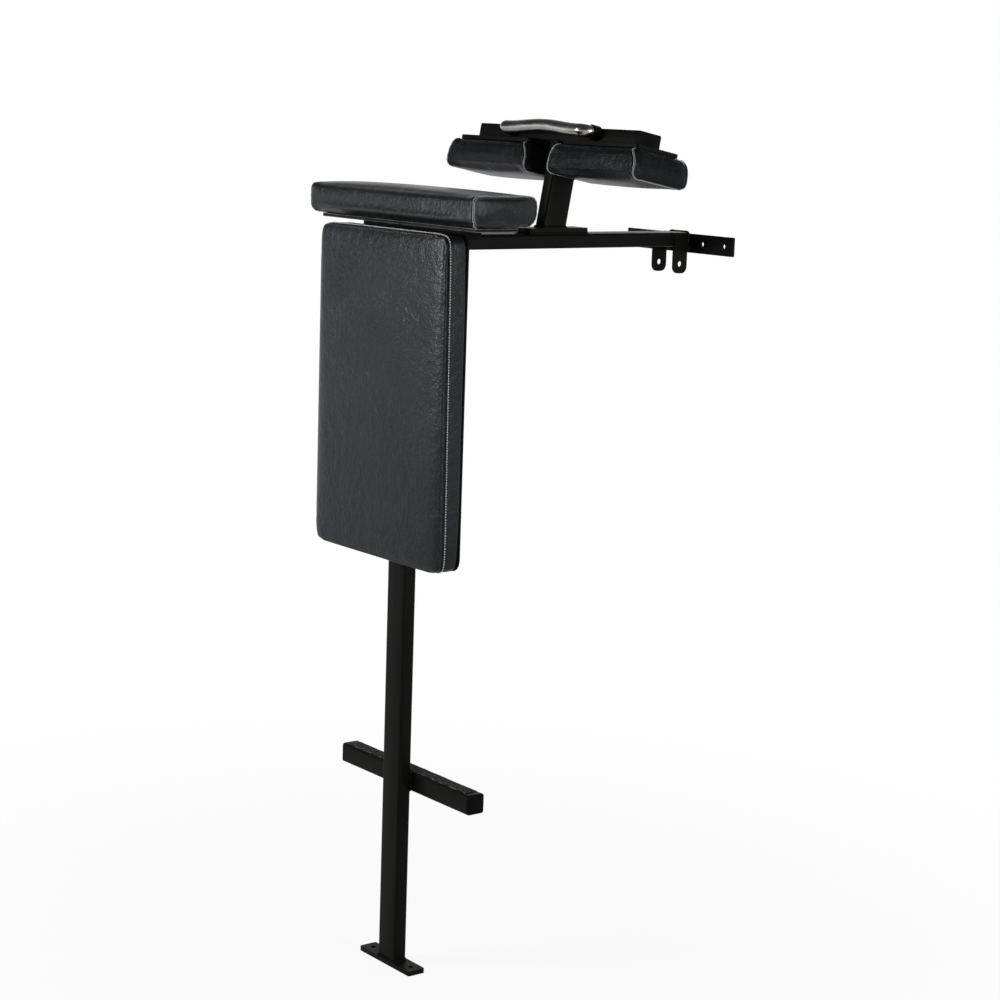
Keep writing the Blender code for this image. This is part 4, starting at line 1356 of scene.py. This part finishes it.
class BENCH_OT_back_pad(bpy.types.Operator):
    """Pad and sew the back pad: one seam round its sides, stitched behind"""

    bl_idname = "bench.back_pad"
    bl_label = "Sew the back pad"

    def execute(self, context):
        cover = context.scene.bench_cover
        front = -Y
        low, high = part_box("back_pad")
        seat = Vector((0, high.y, 0))
        shape = CushionShape(seat, front, Z)
        obj = cushion("back_pad", "back_pad_cover", shape, cover, 0.6 * cover.most_swell, 1)
        face_folded(obj, shape, low, high, cover.back_thickness)
        halfway = seat + Vector((0, 0, (low.z + high.z) / 2))
        seam = halfway + front * (cover.back_thickness - cover.back_seam)
        seam_to_row = 3.6 * MM
        lean = Matrix.Rotation(cover.back_seam_lean, 3, "X") @ front
        row = seam - lean * seam_to_row
        stitched("back_pad_stitches", [section_route(obj, shape, row, lean)],
                 surface_of(obj), cover, cover.stitch_pitch)
        drawn_in(obj, shape, [seam], lean, 1.9 * cover.groove, 1.7 * cover.groove)
        covered(obj, finish("cover_leatherette"))
        return {"FINISHED"}


class BENCH_OT_knee_cushion(bpy.types.Operator):
    """Pad and sew the knee cushion with its end panels"""

    bl_idname = "bench.knee_cushion"
    bl_label = "Sew the knee cushion"

    def execute(self, context):
        cover = context.scene.bench_cover
        low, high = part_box("knee_cushion")
        folds = ((-1, low.y, cover.fold), (1, high.y, cover.fold))
        end_seamed("knee_cushion", "knee_board", "knee_cushion_cover",
                   (Vector((0, 0, low.z)), Z, Y), KNEE_PATTERN, folds,
                   finish("cover_leatherette"), cover)
        return {"FINISHED"}


class BENCH_OT_hold_down_pads(bpy.types.Operator):
    """Pad and sew the two cushions under the cross-member"""

    bl_idname = "bench.hold_down_pads"
    bl_label = "Sew the hold-down cushions"

    def execute(self, context):
        cover = context.scene.bench_cover
        board_depth, front_edge, back_edge = 8.6 * MM, -39 * MM, 106 * MM
        front_fold, face_slope, slope_start = 3 * MM, radians(63), 50 * MM
        lie = (HEAD @ Vector((0, 0, -board_depth)), HEAD_TURN @ -Z, HEAD_TURN @ Y)
        folds = ((-1, front_edge, front_fold, (face_slope, slope_start)),
                 (1, back_edge, cover.fold))
        for side in SIDES:
            end_seamed("hold_down_pad_" + side, "hold_down_board_" + side,
                       f"hold_down_{side}_cover", lie, HOLD_DOWN_PATTERN, folds,
                       finish("hold_down_leatherette_painted_shade"), cover)
        return {"FINISHED"}


def soft_lamp(name, place, target, size, power):
    """A large area lamp that faces a point."""
    light = bpy.data.lights.new(name, "AREA")
    light.shape = "RECTANGLE"
    light.size, light.size_y = size
    light.energy = power
    lamp = bpy.data.objects.new(name, light)
    bpy.context.scene.collection.objects.link(lamp)
    lamp.location = place
    lamp.rotation_mode = "QUATERNION"
    lamp.rotation_quaternion = (Vector(target) - Vector(place)).to_track_quat("-Z", "Y")
    return lamp


def seen_background(tree):
    """Masks for rays that show the background: from the camera, and from a mirror or glass."""
    path = put(tree, "ShaderNodeLightPath").outputs
    mirrored = larger(tree, path["Is Glossy Ray"], path["Is Transmission Ray"])
    return path["Is Camera Ray"], mirrored


def floor_material():
    """A pale floor that keeps the bench's shadow and shows white further out.

    What the camera sees is white sooner than what the bench's own surfaces mirror.
    """
    material, tree, shader = blank_material("pale_floor", 0.7, specular=0.2)
    shader.inputs["Base Color"].default_value = (0.82, 0.82, 0.82, 1)
    camera, mirrored = seen_background(tree)
    reach = put(tree, "ShaderNodeVectorMath", {0: object_place(tree)},
                operation="LENGTH").outputs["Value"]
    near = ranged(tree, reach, 0.4, 2.0, 0.9, 1.0)
    away = ranged(tree, reach, 1.5, 6.0, 0.25, 1.0)
    glow = put(tree, "ShaderNodeEmission", {"Color": (1, 1, 1, 1), "Strength": 1.0})
    share = larger(tree, times(tree, near, camera), times(tree, away, mirrored))
    mix = put(tree, "ShaderNodeMixShader", {0: share, 1: shader.outputs[0],
                                            2: glow.outputs[0]})
    tree.links.new(mix.outputs[0], tree.nodes["Material Output"].inputs["Surface"])
    return material


def surround_world(strength):
    """A white wall behind, and a dim ceiling and room in front. The camera sees white."""
    world = bpy.data.worlds.new("studio")
    world.use_nodes = True
    tree = world.node_tree
    camera, mirrored = seen_background(tree)
    direction = put(tree, "ShaderNodeTexCoord").outputs["Generated"]
    rise = put(tree, "ShaderNodeSeparateXYZ", {0: direction}).outputs["Z"]
    lit = ranged(tree, rise, 0.1, 0.9, strength, 0.4 * strength)
    heading = put(tree, "ShaderNodeSeparateXYZ", {0: direction}).outputs["Y"]
    behind = ranged(tree, heading, -0.1, 0.25)
    room = ranged(tree, rise, -0.01, 0.1, 0.45, 0.07)
    wall = ranged(tree, rise, 0.15, 0.6, 1.0, 0.12)
    shown = ranged(tree, behind, 0.0, 1.0, room, wall)
    level = ranged(tree, mirrored, 0.0, 1.0, lit, shown)
    level = ranged(tree, camera, 0.0, 1.0, level, 1.0)
    background = tree.nodes["Background"]
    background.inputs["Color"].default_value = (1, 1, 1, 1)
    tree.links.new(level, background.inputs["Strength"])
    return world


class BENCH_OT_stage(bpy.types.Operator):
    """Set the floor, the surroundings, the lamps and the camera"""

    bl_idname = "bench.stage"
    bl_label = "Set the stage"

    def execute(self, context):
        stage = context.scene.bench_stage
        bm = bmesh.new()
        bmesh.ops.create_circle(bm, cap_ends=True, segments=96, radius=30)
        floor = placed("floor", bm)
        floor.data.materials.append(floor_material())
        context.scene.world = surround_world(stage.surround)
        soft_lamp("key", (-1.05, -2.1, 1.75), (0, 0, 1.4), (0.8, 0.8), stage.key)
        soft_lamp("fill", (3.2, 0.6, 1.8), (0, 0.2, 1.4), (1.2, 1.6), stage.fill)
        soft_lamp("back", (-1.2, 2.8, 2.6), (0, 0.2, 1.4), (1.6, 1.0), stage.rim)

        turn, rise, roll = stage.heading, stage.height, stage.roll
        ahead = Vector((-sin(turn) * cos(rise), cos(turn) * cos(rise), -sin(rise)))
        level = Vector((cos(turn), sin(turn), 0))
        above = level.cross(ahead)
        right = cos(roll) * level + sin(roll) * above
        up = cos(roll) * above - sin(roll) * level
        target = Vector((311.4 * MM, 0, 1012.0 * MM))
        data = bpy.data.cameras.new("camera")
        data.lens = stage.lens
        data.sensor_width = 36
        camera = bpy.data.objects.new("camera", data)
        context.scene.collection.objects.link(camera)
        turned = Matrix((right, up, -ahead)).transposed().to_4x4()
        camera.matrix_world = Matrix.Translation(target - ahead * stage.distance) @ turned
        context.scene.camera = camera
        context.scene.view_settings.view_transform = "Standard"
        return {"FINISHED"}


STEPS = (BENCH_OT_coated_frame, BENCH_OT_small_parts, BENCH_OT_weld_beads,
         BENCH_OT_back_screws, BENCH_OT_handle, BENCH_OT_grip_strip, BENCH_OT_back_pad,
         BENCH_OT_knee_cushion, BENCH_OT_hold_down_pads, BENCH_OT_stage)


class BENCH_PT_panel(bpy.types.Panel):
    """The bench's settings and steps"""

    bl_label = "Bench"
    bl_idname = "BENCH_PT_panel"
    bl_space_type = "VIEW_3D"
    bl_region_type = "UI"
    bl_category = "Bench"

    def draw(self, context):
        for name, settings in SETTINGS.items():
            values = getattr(context.scene, name)
            for key in settings.__annotations__:
                self.layout.prop(values, key)
        for step in STEPS:
            self.layout.operator(step.bl_idname)


CLASSES = (*SETTINGS.values(), *STEPS, BENCH_PT_panel)


def register():
    for item in CLASSES:
        bpy.utils.register_class(item)
    for name, settings in SETTINGS.items():
        setattr(bpy.types.Scene, name, PointerProperty(type=settings))


def unregister():
    for name in SETTINGS:
        delattr(bpy.types.Scene, name)
    for item in reversed(CLASSES):
        bpy.utils.unregister_class(item)


def main():
    register()
    for step in STEPS:
        group, name = step.bl_idname.split(".")
        getattr(getattr(bpy.ops, group), name)()


if __name__ == "__main__":
    main()
